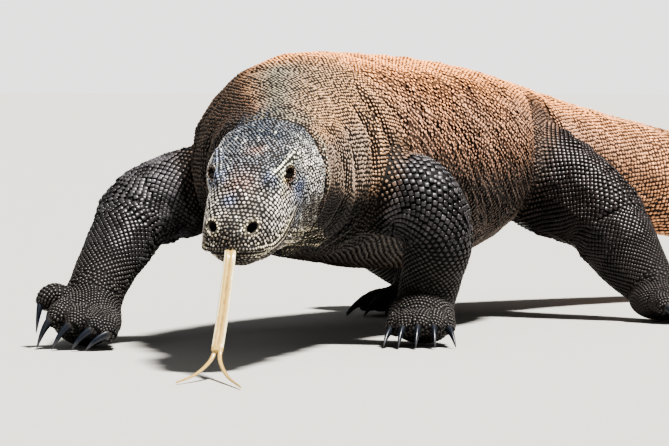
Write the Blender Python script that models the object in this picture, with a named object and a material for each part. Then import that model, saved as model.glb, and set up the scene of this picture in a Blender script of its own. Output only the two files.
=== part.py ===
"""A life-size walking Komodo dragon, 2.6 m long, as still solids: head, jaw, tongue, eyes, neck, trunk,
four lengths of tail, four legs of three lengths each, and the claws.

Units are metres, +Z is up and the floor is z = 0. The animal faces -Y and its left side is +X.
While it is being built, the point on the floor under the shoulders is x = y = 0. The last step moves
everything so that the middle of the whole outline's box stands over the origin.
"""

import math

import bmesh
import bpy
import numpy as np
from mathutils import Matrix, Vector

GAP = 0.0003  # clear space between touching pieces
CLEARANCE = 0.0009  # and where one piece is cut to another's side
UP = Vector((0, 0, 1))

# Where the head sits: its local frame has +X along the snout, +Y to the animal's left, +Z up.
OCCIPUT = Vector((0.102, -0.325, 0.238))  # top of the head where it meets the nape
HEAD_YAW = math.radians(-80.9)  # the snout points along -Y, a little to the left
HEAD_PITCH = math.radians(35.0)  # nose down
HEAD_LENGTH = 0.2005

EYE_RADIUS = 0.0085
EYE_PLACE = Vector((0.083, 0.0335, -0.0020))
# The mouth's cut, seen from the side as along the snout and height, from the front to the corner
# of the mouth and down through the throat.
MOUTH_LINE = [(0.220, -0.0060), (0.190, -0.0150), (0.165, -0.0280), (0.120, -0.0345), (0.074, -0.0375)]
THROAT_CUT = (0.030, -0.2)

# Head outline: along the snout, half-width, top, widest level, bottom, squareness.
HEAD = {
    "rear": (0.000, 0.0560, 0.0000, -0.052, -0.1150, 2.2),
    "cheeks": (0.024, 0.0575, 0.0075, -0.048, -0.1170, 2.2),
    "jaw_corner": (0.050, 0.0540, 0.0135, -0.040, -0.1110, 2.3),
    "brows": (0.083, 0.0450, 0.0180, -0.030, -0.0950, 2.5),
    "muzzle": (0.118, 0.0430, 0.0160, -0.026, -0.0700, 2.6),
    "nose_bridge": (0.150, 0.0390, 0.0135, -0.023, -0.0560, 2.6),
    "nostrils": (0.172, 0.0335, 0.0110, -0.019, -0.0460, 2.4),
    "lips": (0.188, 0.0265, 0.0065, -0.014, -0.0350, 2.2),
    "nose_tip": (0.197, 0.0175, 0.0005, -0.011, -0.0260, 2.0),
    "rostral": (HEAD_LENGTH, 0.0080, -0.0045, -0.010, -0.0180, 2.0),
}

# Body outline: x, y, top, bottom, half-width, share of the height at the widest level, squareness,
# and the forward lean of the section in degrees.
BODY = {
    "nape": (0.086, -0.252, 0.2540, 0.118, 0.060, 0.50, 2.1, 20),
    "mid_neck": (0.056, -0.175, 0.2700, 0.104, 0.076, 0.46, 2.1, 8),
    "neck_base": (0.023, -0.085, 0.2885, 0.098, 0.095, 0.46, 2.1, 2),
    "shoulders": (0.004, 0.010, 0.3050, 0.088, 0.111, 0.46, 2.1, 0),
    "chest": (-0.003, 0.120, 0.3065, 0.078, 0.118, 0.45, 2.1, 0),
    "belly": (-0.004, 0.270, 0.3030, 0.066, 0.124, 0.42, 2.2, 0),
    "flank": (0.000, 0.420, 0.2945, 0.078, 0.114, 0.43, 2.2, 0),
    "hips": (0.006, 0.560, 0.2810, 0.110, 0.092, 0.46, 2.1, 0),
    "vent": (0.030, 0.690, 0.2590, 0.106, 0.076, 0.48, 2.0, 0),
    "tail_root": (0.072, 0.810, 0.2340, 0.096, 0.062, 0.48, 2.0, 0),
    "tail_1": (0.132, 0.930, 0.2060, 0.078, 0.050, 0.48, 2.0, 0),
    "tail_2": (0.205, 1.050, 0.1700, 0.054, 0.041, 0.46, 2.0, 0),
    "tail_3": (0.265, 1.170, 0.1320, 0.026, 0.034, 0.44, 2.0, 0),
    "tail_4": (0.300, 1.290, 0.0980, 0.004, 0.029, 0.42, 2.0, 0),
    "tail_5": (0.305, 1.410, 0.0760, -0.002, 0.0245, 0.42, 2.0, 0),
    "tail_6": (0.285, 1.530, 0.0610, -0.002, 0.0200, 0.42, 2.0, 0),
    "tail_7": (0.250, 1.645, 0.0480, -0.002, 0.0160, 0.42, 2.0, 0),
    "tail_8": (0.215, 1.760, 0.0360, -0.002, 0.0120, 0.42, 2.0, 0),
    "tail_9": (0.195, 1.880, 0.0250, -0.002, 0.0085, 0.42, 2.0, 0),
    "tail_tip": (0.200, 1.990, 0.0140, -0.001, 0.0045, 0.42, 2.0, 0),
}

# Each leg: the joints from the root inside the body to the wrist or ankle, with the half-thickness
# across and along the limb's own plane at each.
LEGS = {
    "front_left": [
        ((0.030, 0.020, 0.165), 0.040, 0.046),
        ((0.090, 0.004, 0.163), 0.042, 0.048),
        ((0.140, -0.002, 0.150), 0.041, 0.046),
        ((0.159, 0.002, 0.116), 0.036, 0.039),
        ((0.151, 0.012, 0.078), 0.030, 0.034),
        ((0.140, 0.018, 0.044), 0.028, 0.031),
    ],
    "front_right": [
        ((-0.030, 0.015, 0.172), 0.040, 0.046),
        ((-0.114, -0.024, 0.157), 0.040, 0.047),
        ((-0.154, -0.055, 0.137), 0.037, 0.043),
        ((-0.160, -0.080, 0.114), 0.034, 0.038),
        ((-0.164, -0.108, 0.088), 0.031, 0.034),
        ((-0.168, -0.134, 0.062), 0.029, 0.031),
    ],
    "hind_left": [
        ((0.025, 0.590, 0.185), 0.050, 0.062),
        ((0.104, 0.545, 0.155), 0.050, 0.062),
        ((0.165, 0.526, 0.124), 0.044, 0.050),
        ((0.190, 0.517, 0.096), 0.040, 0.046),
        ((0.214, 0.508, 0.067), 0.034, 0.040),
        ((0.236, 0.500, 0.044), 0.029, 0.032),
    ],
    "hind_right": [
        ((-0.045, 0.600, 0.165), 0.050, 0.050),
        ((-0.098, 0.606, 0.150), 0.050, 0.048),
        ((-0.136, 0.602, 0.120), 0.044, 0.040),
        ((-0.134, 0.586, 0.088), 0.036, 0.034),
        ((-0.098, 0.562, 0.064), 0.029, 0.030),
        ((-0.055, 0.538, 0.046), 0.026, 0.028),
    ],
}
KNEE = 2  # the joint in each list that is the elbow or knee
LIMB_STEPS = 2  # rings from one joint to the next

# Each foot: its heading in degrees (0 is straight ahead, positive turns to the animal's left), its
# palm's half-sizes along, across and up, how far its toes arch up, and each toe from the inner to the
# outer: its tip out to the foot's outer side, ahead of the palm and above the floor, and the heading
# of its claw.
FEET = {
    "front_left": {
        "heading": 12,
        "palm": (0.035, 0.036, 0.0290),
        "arch": 0.0110,
        "toes": [
            (-0.026, 0.038, 0.0150, 2),
            (-0.012, 0.050, 0.0170, 8),
            (0.004, 0.053, 0.0180, 14),
            (0.019, 0.047, 0.0180, 24),
            (0.032, 0.032, 0.0160, 38),
        ],
    },
    "front_right": {
        "heading": -6,
        "palm": (0.037, 0.036, 0.0300),
        "arch": 0.0125,
        "toes": [
            (-0.054, 0.046, 0.0135, -38),
            (-0.042, 0.058, 0.0180, -42),
            (-0.017, 0.060, 0.0225, -46),
            (0.010, 0.054, 0.0270, -50),
            (0.036, 0.030, 0.0420, 4),
        ],
    },
    "hind_left": {
        "heading": 62,
        "palm": (0.037, 0.040, 0.0240),
        "arch": 0.0090,
        "toes": [
            (-0.034, 0.040, 0.0145, 48),
            (-0.020, 0.062, 0.0155, 54),
            (-0.001, 0.078, 0.0160, 60),
            (0.021, 0.084, 0.0160, 68),
            (0.046, 0.040, 0.0150, 92),
        ],
    },
    "hind_right": {
        "heading": -18,
        "palm": (0.037, 0.038, 0.0185),
        "arch": 0.0030,
        "toes": [
            (-0.034, 0.034, 0.0130, -2),
            (-0.019, 0.052, 0.0130, -8),
            (-0.001, 0.064, 0.0140, -14),
            (0.018, 0.068, 0.0145, -22),
            (0.037, 0.036, 0.0150, -46),
        ],
    },
}
PALM_AHEAD = 0.022  # from under the wrist to the middle of the palm
PALM_SUNK = 0.0024  # how far the palm reaches below the floor, which cuts it flat
FOOT_TRIANGLES = 660  # in each foot, before its flats are cut
MERGE_VOXEL = 0.0022
TOE_RADIUS = 0.0124
TOE_ROOT = (0.55, 0.006)  # share of the tip's way out, and metres ahead of the palm's middle
TOE_SHARES = (0, 0.45, 0.78, 1)  # where along the toe its rows stand
TOE_SIZES = (1.15, 1.10, 1.0, 0.80)
KNUCKLES = (1, 0.7)  # shares of the foot's arch at each toe's two middle joints
CLAW_DROP = 0.88  # most of a claw's length that it hangs down
CLAW_LENGTH = 0.035
CLAW_HALF_SIZE = (0.0040, 0.0052)  # across, up
CLAW_TIP_HEIGHT = 0.0012
CLAW_RISE = 0.003  # how far above the middle of the toe's end the claw grows
CLAW_SUNK = 0.003  # and how deep its root lies in the toe
CLAW_SIDES = 6
CLAW_STEPS = 4

# Where the body tube is parted into nodes, by station name, and each node's sides and rings.
LENGTHS = {
    "neck": ("rear", "shoulders"),
    "trunk": ("shoulders", "vent"),
    "tail_1": ("vent", "tail_2"),
    "tail_2": ("tail_2", "tail_5"),
    "tail_3": ("tail_5", "tail_7"),
    "tail_4": ("tail_7", "tail_tip"),
}
SIDES_AND_STEPS = {
    "head": (20, 2),
    "neck": (20, 2),
    "trunk": (20, 2),
    "tail_1": (20, 2),
    "tail_2": (16, 2),
    "tail_3": (14, 2),
    "tail_4": (12, 2),
}

# The tongue: rows of x, y, z, half-width, half-thickness.
TONGUE_SIDE = Vector((0.93, 0.36, 0))  # the way its flat side spreads
TONGUE_STEM = [
    (0.1335, -0.4955, 0.1180, 0.0056, 0.0020),
    (0.1355, -0.5080, 0.0950, 0.0056, 0.0021),
    (0.1385, -0.5270, 0.0600, 0.0057, 0.0022),
    (0.1406, -0.5463, 0.0263, 0.0058, 0.0021),
]
TONGUE_TIPS = {
    "tongue_right_tip": [
        (0.1385, -0.5400, 0.0330, 0.0024, 0.0016),
        (0.1372, -0.5540, 0.0180, 0.0021, 0.0015),
        (0.1350, -0.5850, 0.0070, 0.0018, 0.0013),
        (0.1328, -0.6245, 0.0022, 0.0009, 0.0009),
    ],
    "tongue_left_tip": [
        (0.1425, -0.5415, 0.0330, 0.0024, 0.0016),
        (0.1480, -0.5560, 0.0180, 0.0021, 0.0015),
        (0.1740, -0.6000, 0.0070, 0.0018, 0.0013),
        (0.2112, -0.6583, 0.0022, 0.0009, 0.0009),
    ],
}
COLOURS = {
    "flesh": ((0.16, 0.135, 0.115, 1), 0.75),
    "claw": ((0.035, 0.04, 0.05, 1), 0.35),
    "eye": ((0.03, 0.02, 0.015, 1), 0.1),
    "tongue": ((0.75, 0.62, 0.38, 1), 0.45),
}


def clear_scene():
    for obj in list(bpy.data.objects):
        bpy.data.objects.remove(obj)


def material(name):
    found = bpy.data.materials.get(name)
    if found:
        return found
    colour, roughness = COLOURS[name]
    made = bpy.data.materials.new(name)
    made.use_nodes = True
    shader = made.node_tree.nodes["Principled BSDF"]
    shader.inputs["Base Color"].default_value = colour
    shader.inputs["Roughness"].default_value = roughness
    shader.inputs["Metallic"].default_value = 0.0
    return made


def new_object(name, mesh, finish="flesh"):
    obj = bpy.data.objects.new(name, mesh)
    mesh.materials.append(material(finish))
    bpy.context.scene.collection.objects.link(obj)
    return obj


def helper(obj):
    """Marks a cutter or a guide, which isn't a piece of the animal."""
    obj.hide_render = True
    obj.display_type = "WIRE"
    return obj


def spline(rows, place):
    """A smooth curve through rows of numbers, read at place, which counts in rows."""
    rows = np.asarray(rows, float)
    last = len(rows) - 1
    i = min(int(place), last - 1)
    t = place - i
    before, a, b, after = (rows[min(max(j, 0), last)] for j in (i - 1, i, i + 1, i + 2))
    if i == 0:
        before = 2 * a - b
    if i == last - 1:
        after = 2 * b - a
    return 0.5 * (
        2 * a
        + (b - before) * t
        + (2 * before - 5 * a + 4 * b - after) * t**2
        + (3 * a - before - 3 * b + after) * t**3
    )


def loft(name, rings, finish="flesh"):
    """A closed tube through rings of equally many points, with a flat cap at each end."""
    mesh = bpy.data.meshes.new(name)
    form = bmesh.new()
    made = [[form.verts.new(p) for p in ring] for ring in rings]
    for first, second in zip(made, made[1:]):
        for i in range(len(first)):
            j = (i + 1) % len(first)
            form.faces.new((first[i], first[j], second[j], second[i]))
    form.faces.new(made[0][::-1])
    form.faces.new(made[-1])
    bmesh.ops.recalc_face_normals(form, faces=form.faces)
    form.to_mesh(mesh)
    form.free()
    mesh.shade_smooth()
    mesh.set_sharp_from_angle(angle=math.radians(60))
    return new_object(name, mesh, finish)


# The body tube -------------------------------------------------------------------------------


def head_frame():
    """The matrix from the head's own frame to the model's."""
    turn = Matrix.Rotation(HEAD_YAW, 4, "Z") @ Matrix.Rotation(HEAD_PITCH, 4, "Y")
    return Matrix.Translation(OCCIPUT) @ turn


def body_rows():
    """One row for each station from the nose to the tail tip: centre, yaw, pitch, half-width,
    height above and depth below the widest level, squareness."""
    rows, names = [], []
    frame = head_frame()
    for name, (along, half, top, wide, bottom, square) in reversed(HEAD.items()):
        centre = frame @ Vector((along, 0, wide))
        rows.append([*centre, HEAD_YAW, HEAD_PITCH, half, top - wide, wide - bottom, square])
        names.append(name)
    places = [(s[0], s[1]) for s in BODY.values()]
    for i, (name, s) in enumerate(BODY.items()):
        x, y, top, bottom, half, share, square, lean = s
        ahead = places[i - 1] if i else tuple(OCCIPUT)[:2]
        behind = places[min(i + 1, len(places) - 1)]
        yaw = math.atan2(ahead[1] - behind[1], ahead[0] - behind[0])
        wide = bottom + share * (top - bottom)
        rows.append([x, y, wide, yaw, math.radians(lean), half, top - wide, wide - bottom, square])
        names.append(name)
    return np.array(rows), names


def section(row, sides):
    """The outline of the body tube at one row, as points in its own leaning plane."""
    x, y, z, yaw, pitch, half, up, down, square = row
    turn = Matrix.Rotation(yaw, 3, "Z") @ Matrix.Rotation(pitch, 3, "Y")
    points = []
    for k in range(sides):
        angle = math.tau * k / sides
        across, high = math.sin(angle), math.cos(angle)
        power = 2 / square
        across = math.copysign(abs(across) ** power, across) * half
        high = math.copysign(abs(high) ** power, high) * (up if high > 0 else down)
        points.append(Vector((x, y, z)) + turn @ Vector((0, across, high)))
    return points, turn @ Vector((1, 0, 0))


def tube(name, start, end, sides, steps, grow=0):
    """A length of the body tube between two stations. Each end stands half a gap back from the
    cut. It can be grown a little all round, to cut room for itself."""
    rows, names = body_rows()
    rows[:, 5:8] += grow
    first, last = names.index(start), names.index(end)
    count = (last - first) * steps
    rings = []
    for k in range(count + 1):
        points, forward = section(spline(rows, first + k / steps), sides)
        shift = forward * (GAP / 2) * ((k == count) - (k == 0))
        rings.append([p + shift for p in points])
    return loft(name, rings)


def floor_cutter():
    """A block under the floor, which gives the soles and the tail their flats."""
    bpy.ops.mesh.primitive_cube_add(size=1, location=(0, 0.7, -0.25))
    block = bpy.context.object
    block.name = "floor_cutter"
    block.data.transform(Matrix.Diagonal((4, 5, 0.5, 1)))
    return helper(block)


def boolean(obj, other, operation):
    modifier = obj.modifiers.new(f"{operation.lower()}_{other.name}", "BOOLEAN")
    modifier.object = other
    modifier.operation = operation
    modifier.solver = "EXACT"


def settle(obj):
    """Makes the object's own mesh what its modifiers give."""
    graph = bpy.context.evaluated_depsgraph_get()
    mesh = bpy.data.meshes.new_from_object(obj.evaluated_get(graph))
    obj.modifiers.clear()
    obj.data = mesh
    return obj


# The head's own pieces -----------------------------------------------------------------------


def jaw_wedge(name, inset):
    """The space under the mouth's cut and in front of the throat's, shrunk by inset."""
    line = [Vector((x, 0, z - inset)) for x, z in MOUTH_LINE]
    line[-1].x += inset
    throat = Vector((THROAT_CUT[0] + inset, 0, THROAT_CUT[1]))
    outline = [*line, throat, Vector((line[0].x, 0, throat.z))]
    frame, reach = head_frame(), Vector((0, 0.1, 0))
    rings = [[frame @ (p + side) for p in outline] for side in (-reach, reach)]
    return helper(loft(name, rings))


def eye(name, side):
    """An eyeball, and the slightly larger ball that makes room for it in the head."""
    place = head_frame() @ Vector((EYE_PLACE.x, EYE_PLACE.y * side, EYE_PLACE.z))
    balls = []
    for radius in (EYE_RADIUS, EYE_RADIUS + GAP):
        mesh = bpy.data.meshes.new(name)
        form = bmesh.new()
        bmesh.ops.create_uvsphere(form, u_segments=12, v_segments=7, radius=radius)
        form.transform(Matrix.Translation(place))
        form.to_mesh(mesh)
        form.free()
        mesh.shade_smooth()
        balls.append(new_object(name, mesh, "eye"))
    balls[1].name = f"{name}_socket"
    return balls[0], helper(balls[1])


def head():
    """The head with its eyes set in, parted from the lower jaw along the mouth."""
    upper = tube("head", "rostral", "rear", *SIDES_AND_STEPS["head"])
    lower = tube("lower_jaw", "rostral", "rear", *SIDES_AND_STEPS["head"])
    boolean(upper, jaw_wedge("mouth_cutter", 0), "DIFFERENCE")
    boolean(lower, jaw_wedge("jaw_room", GAP), "INTERSECT")
    for name, side in (("eye_left", 1), ("eye_right", -1)):
        boolean(upper, eye(name, side)[1], "DIFFERENCE")
    return settle(upper), settle(lower)


def strap(name, rows, sides, finish="tongue"):
    """A flattened tube along rows of x, y, z, half-width, half-thickness. It is wide across the
    animal's own left and right."""
    rings = []
    steps = 2
    count = (len(rows) - 1) * steps
    for k in range(count + 1):
        here = spline(rows, k / steps)
        ahead = spline(rows, min(k / steps + 0.01, len(rows) - 1))
        behind = spline(rows, max(k / steps - 0.01, 0))
        along = Vector(ahead[:3] - behind[:3]).normalized()
        across = (TONGUE_SIDE - along * TONGUE_SIDE.dot(along)).normalized()
        over = along.cross(across)
        ring = []
        for i in range(sides):
            angle = math.tau * i / sides
            out = across * (math.cos(angle) * here[3]) + over * (math.sin(angle) * here[4])
            ring.append(Vector(here[:3]) + out)
        rings.append(ring)
    return loft(name, rings, finish)


def tongue():
    """The forked tongue, hanging from the front of the mouth with its tips spread on the floor."""
    tongue_object = strap("tongue", TONGUE_STEM, 10)
    for name, rows in TONGUE_TIPS.items():
        boolean(tongue_object, helper(strap(name, rows, 8)), "UNION")
    return settle(tongue_object)


# Legs, feet and claws ------------------------------------------------------------------------


def limb_frame(rows, place):
    """Centre, direction, the two section axes and their half-thicknesses at a place on a limb."""
    here = spline(rows, place)
    last = len(rows) - 1
    ahead, behind = spline(rows, min(place + 0.02, last)), spline(rows, max(place - 0.02, 0))
    along = Vector(ahead[:3] - behind[:3]).normalized()
    across = Vector((0, 1, 0))
    across = (across - along * across.dot(along)).normalized()
    return Vector(here[:3]), along, across, along.cross(across), here[3], here[4]


def limb(name, rows, start, end, sides=14, grow=0):
    """A length of leg or toe between two of its joints. It can be grown a little all round, to
    cut room for itself."""
    rings = []
    count = round((end - start) * LIMB_STEPS)
    for k in range(count + 1):
        centre, along, across, over, a, b = limb_frame(rows, start + k / LIMB_STEPS)
        centre = centre + along * (GAP / 2 - grow) * ((k == 0) - (k == count))
        ring = []
        for i in range(sides):
            angle = math.tau * i / sides
            out = across * (math.sin(angle) * (a + grow)) + over * (math.cos(angle) * (b + grow))
            ring.append(centre + out)
        rings.append(ring)
    return loft(name, rings)


def heading(degrees):
    """A level direction: 0 is straight ahead and positive turns to the animal's left."""
    angle = math.radians(degrees)
    return Vector((math.sin(angle), -math.cos(angle), 0))


def foot_axes(leg):
    """The foot's directions ahead and out to its outer side."""
    turn = FEET[leg]["heading"]
    return heading(turn), heading(turn + (90 if "left" in leg else -90))


def toe_rows(leg, palm, out, ahead, place):
    """The middle line of a toe, from inside the palm over the knuckle to its tip."""
    aside, forth, high, _ = place
    arch = FEET[leg]["arch"]
    tip = palm + out * aside + ahead * forth
    root = palm + out * (aside * TOE_ROOT[0]) + ahead * TOE_ROOT[1]
    heights = (max(palm.z, high), high + arch * KNUCKLES[0], high + arch * KNUCKLES[1], high)
    rows = []
    for share, height, size in zip(TOE_SHARES, heights, TOE_SIZES):
        spot = root.lerp(tip, share)
        rows.append((spot.x, spot.y, height, TOE_RADIUS * size, TOE_RADIUS * size * 0.95))
    return rows


def claw(name, rows, turn, grow):
    """A curved, tapering claw that grows from the end of a toe and points down to the floor. It
    can be grown a little all round, to cut room for itself."""
    root, along, _, _, _, _ = limb_frame(rows, len(rows) - 1)
    ahead = heading(turn)
    root = root - along * CLAW_SUNK + (UP - along * along.z).normalized() * CLAW_RISE
    drop = min(root.z - CLAW_TIP_HEIGHT, CLAW_LENGTH * CLAW_DROP)
    reach = math.sqrt(CLAW_LENGTH**2 - drop**2) * 0.9
    bend = root + ahead * (reach * 0.55) - UP * (drop * 0.22)
    tip = root + ahead * reach - UP * drop
    across = ahead.cross(UP)
    rings = []
    for k in range(CLAW_STEPS + 1):
        t = k / CLAW_STEPS
        place = root * (1 - t) ** 2 + bend * (2 * t * (1 - t)) + tip * t**2
        direction = ((bend - root) * (1 - t) + (tip - bend) * t).normalized()
        if k == 0:
            place -= direction * grow
        side = (across - direction * across.dot(direction)).normalized()
        over = side.cross(direction)
        size = (1 - t) ** 0.75 + 0.09
        ring = []
        for i in range(CLAW_SIDES):
            angle = math.tau * i / CLAW_SIDES
            a, b = (half * size + grow for half in CLAW_HALF_SIZE)
            ring.append(place + side * (math.sin(angle) * a) + over * (math.cos(angle) * b))
        rings.append(ring)
    return loft(name, rings, "claw")


def palm_pad(leg, palm, ahead, out):
    """The thick middle of a forefoot or hind foot."""
    mesh = bpy.data.meshes.new(f"{leg}_palm")
    form = bmesh.new()
    bmesh.ops.create_uvsphere(form, u_segments=24, v_segments=14, radius=1)
    form.transform(Matrix.Diagonal((*FEET[leg]["palm"], 1)))
    form.transform(Matrix((ahead, out, UP)).transposed().to_4x4())
    form.transform(Matrix.Translation(palm))
    bmesh.ops.recalc_face_normals(form, faces=form.faces)
    form.to_mesh(mesh)
    form.free()
    return helper(new_object(f"{leg}_palm", mesh))


def merged(name, pieces):
    """One closed body that follows the outside of overlapping pieces, in few faces."""
    mesh = bpy.data.meshes.new(name)
    form = bmesh.new()
    for piece in pieces:
        form.from_mesh(piece.data)
    form.to_mesh(mesh)
    form.free()
    whole = new_object(name, mesh)
    remesh = whole.modifiers.new("merge", "REMESH")
    remesh.mode = "VOXEL"
    remesh.voxel_size = MERGE_VOXEL
    whole = settle(whole)
    whole.data.calc_loop_triangles()
    reduce = whole.modifiers.new("fewer_faces", "DECIMATE")
    reduce.ratio = FOOT_TRIANGLES / len(whole.data.loop_triangles)
    reduce.use_collapse_triangulate = True
    return settle(whole)


def foot(leg, rows, shank, floor):
    """The foot with its five toes in one piece, flat where it meets the floor, and its claws."""
    plan = FEET[leg]
    ahead, out = foot_axes(leg)
    last = len(rows) - 1
    wrist, along, _, _, a, b = limb_frame(rows, last)
    palm = Vector((wrist.x, wrist.y, plan["palm"][2] - PALM_SUNK)) + ahead * PALM_AHEAD
    start = wrist - along * CLEARANCE
    path = [(*start, a, b), (*wrist.lerp(palm, 0.5), a, b), (*palm, a * 0.95, b * 0.85)]
    pieces = [helper(limb(f"{leg}_ankle", path, 0, 2)), palm_pad(leg, palm, ahead, out)]
    claws = []
    for k, place in enumerate(plan["toes"], 1):
        toe = toe_rows(leg, palm, out, ahead, place)
        pieces.append(helper(limb(f"{leg}_toe_{k}", toe, 0, len(toe) - 1)))
        claw(f"{leg}_claw_{k}", toe, place[3], 0)
        claws.append(helper(claw(f"{leg}_claw_{k}_socket", toe, place[3], GAP)))
    whole = merged(f"{leg}_foot", pieces)
    for cutter in (shank, floor, *claws):
        boolean(whole, cutter, "DIFFERENCE")
    return settle(whole)


def legs(floor):
    """Four legs, each cut to the body's side, with its foot and claws."""
    sides, steps = SIDES_AND_STEPS["trunk"]
    body = helper(tube("body_cutter", "mid_neck", "tail_root", sides, steps, grow=CLEARANCE))
    for leg, joints in LEGS.items():
        rows = [(*place, across, over) for place, across, over in joints]
        last = len(rows) - 1
        upper, lower = ("upper_arm", "forearm") if "front" in leg else ("thigh", "shank")
        top = limb(f"{leg}_{upper}", rows, 0, KNEE)
        boolean(top, body, "DIFFERENCE")
        settle(top)
        limb(f"{leg}_{lower}", rows, KNEE, last)
        cutter = helper(limb(f"{leg}_cutter", rows, KNEE, last, grow=CLEARANCE))
        foot(leg, rows, cutter, floor)


def stand_on_origin():
    """Moves every piece so that the middle of the whole outline's box stands over the origin."""
    pieces = [o for o in bpy.data.objects if not o.hide_render]
    corners = np.array([o.matrix_world @ v.co for o in pieces for v in o.data.vertices])
    middle = (corners.min(0) + corners.max(0)) / 2
    for obj in pieces:
        obj.data.transform(Matrix.Translation((-middle[0], -middle[1], 0)))


def build():
    clear_scene()
    floor = floor_cutter()
    head()
    tongue()
    for name, (start, end) in LENGTHS.items():
        piece = tube(name, start, end, *SIDES_AND_STEPS[name])
        if name.startswith("tail"):
            boolean(piece, floor, "DIFFERENCE")
            settle(piece)
    legs(floor)
    for obj in [o for o in bpy.data.objects if o.hide_render]:
        bpy.data.objects.remove(obj)
    stand_on_origin()


build()
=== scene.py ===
"""The looks of a life-size Komodo dragon: one hide over the whole animal, its scales, eyes, tongue and
claws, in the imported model's frame, with a plain floor, studio light and a camera."""

import math
from types import SimpleNamespace

import bmesh
import bpy
import numpy as np
from mathutils import Matrix, Vector
from mathutils.bvhtree import BVHTree
from mathutils.kdtree import KDTree


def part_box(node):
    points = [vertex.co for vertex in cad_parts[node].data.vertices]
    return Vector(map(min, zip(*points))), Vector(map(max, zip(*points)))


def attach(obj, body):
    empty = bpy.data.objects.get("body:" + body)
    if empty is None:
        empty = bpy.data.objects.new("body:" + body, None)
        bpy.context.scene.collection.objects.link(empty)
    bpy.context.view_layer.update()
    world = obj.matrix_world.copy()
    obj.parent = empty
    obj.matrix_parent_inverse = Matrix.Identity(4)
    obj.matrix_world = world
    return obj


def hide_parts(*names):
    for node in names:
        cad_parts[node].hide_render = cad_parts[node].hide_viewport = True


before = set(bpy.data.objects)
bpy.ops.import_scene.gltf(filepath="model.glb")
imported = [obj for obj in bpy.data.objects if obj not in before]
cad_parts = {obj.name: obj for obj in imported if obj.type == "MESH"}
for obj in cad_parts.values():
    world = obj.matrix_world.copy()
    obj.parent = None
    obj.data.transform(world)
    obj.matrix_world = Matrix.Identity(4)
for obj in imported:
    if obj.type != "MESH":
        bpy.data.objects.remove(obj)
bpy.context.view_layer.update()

# ---- Hide -------------------------------------------------------------------------------------------
# The dragon's whole skin, from the lips to the tail tip and the toes: thick dry leather, near black
# where it shows between the scales, partly its own dark colour and partly painted shade in the gaps.
# It is cast in one piece over the carved body, and the folds, lids and lips are modelled in it.

HIDE_DEPTH = 0.0013  # how far the hide lies inside the scales' outline
VOXEL = 0.0026  # the grain of the cast that joins body, legs and toes
OCCIPUT = np.array((0.102, -0.325, 0.238))  # top of the head where it meets the nape
HEAD_YAW = math.radians(-80.9)
HEAD_PITCH = math.radians(35.0)
EYE_PLACE = np.array((0.083, 0.0335, -0.0020))  # ahead, left and above the occiput, along the head
EYE_AXIS = np.array((0.64, 0.58, 0.50))  # the way the eye looks
EYE_LEVEL = np.array((1.0, 0.0, -0.25))  # the way the opening between the lids is long
EYE_OPENING = (0.58, 0.42)  # half-length and half-height between the lids, as shares of the eyeball
LID, SOCKET = 0.0099, 0.0072  # how far the lids, and the sunk hide behind the ball, lie from its middle
NOSTRIL = np.array((0.1785, 0.0192, 0.0046))
NOSTRIL_SLANT = np.array((-0.87, 0.45, 0.20))  # which way the oval opening is long
NOSTRIL_OUT = np.array((0.55, 0.37, 0.75))  # which way it faces
NOSTRIL_SIZE = (0.0062, 0.0041, 0.0110)  # half-sizes along, across and into the opening
EAR = np.array((0.006, 0.0560, -0.040))
EAR_SHAPE = (0.75, 1, 1.5)  # how the ear's opening is stretched
# The mouth's line, as ahead along the head and height: from the front to the corner.
MOUTH = [
    (0.202, -0.0075), (0.190, -0.0160), (0.172, -0.0270),
    (0.150, -0.0320), (0.118, -0.0350), (0.072, -0.0372),
]
# The crests of the brows, and the crease behind cheeks and nape: ahead, out to the side and height.
BROW = [(0.126, 0.0215, 0.0130), (0.104, 0.0285, 0.0145), (0.082, 0.0342, 0.0120), (0.056, 0.0390, 0.0062)]
CREASE = [
    (-0.012, 0.000, -0.003), (-0.010, 0.014, -0.006), (-0.013, 0.032, -0.016), (-0.001, 0.044, -0.019),
    (0.013, 0.051, -0.025), (0.028, 0.056, -0.046), (0.035, 0.055, -0.057), (0.043, 0.050, -0.082),
]
THROAT_FOLD, THROAT_STEP = 0.130, 0.0112  # height of the fold below the mouth's corner; fold to fold
FLANK_FOLD, FLANK_STEP = 0.102, 0.0225  # the first fold behind the shoulder along y; fold to fold

# Head outline, nose first: ahead, half-width, top, widest level, bottom, squareness.
HEAD = {
    "rostral": (0.2005, 0.0080, -0.0045, -0.010, -0.0180, 2.0),
    "nose_tip": (0.197, 0.0175, 0.0005, -0.011, -0.0260, 2.0),
    "lips": (0.188, 0.0265, 0.0065, -0.014, -0.0350, 2.2),
    "nostrils": (0.172, 0.0335, 0.0110, -0.019, -0.0460, 2.4),
    "nose_bridge": (0.150, 0.0390, 0.0135, -0.023, -0.0560, 2.6),
    "muzzle": (0.118, 0.0430, 0.0160, -0.026, -0.0700, 2.6),
    "brows": (0.083, 0.0450, 0.0180, -0.030, -0.0950, 2.5),
    "jaw_corner": (0.050, 0.0540, 0.0135, -0.040, -0.1110, 2.3),
    "cheeks": (0.024, 0.0575, 0.0075, -0.048, -0.1170, 2.2),
    "rear": (0.000, 0.0560, 0.0000, -0.052, -0.1150, 2.2),
}
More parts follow.
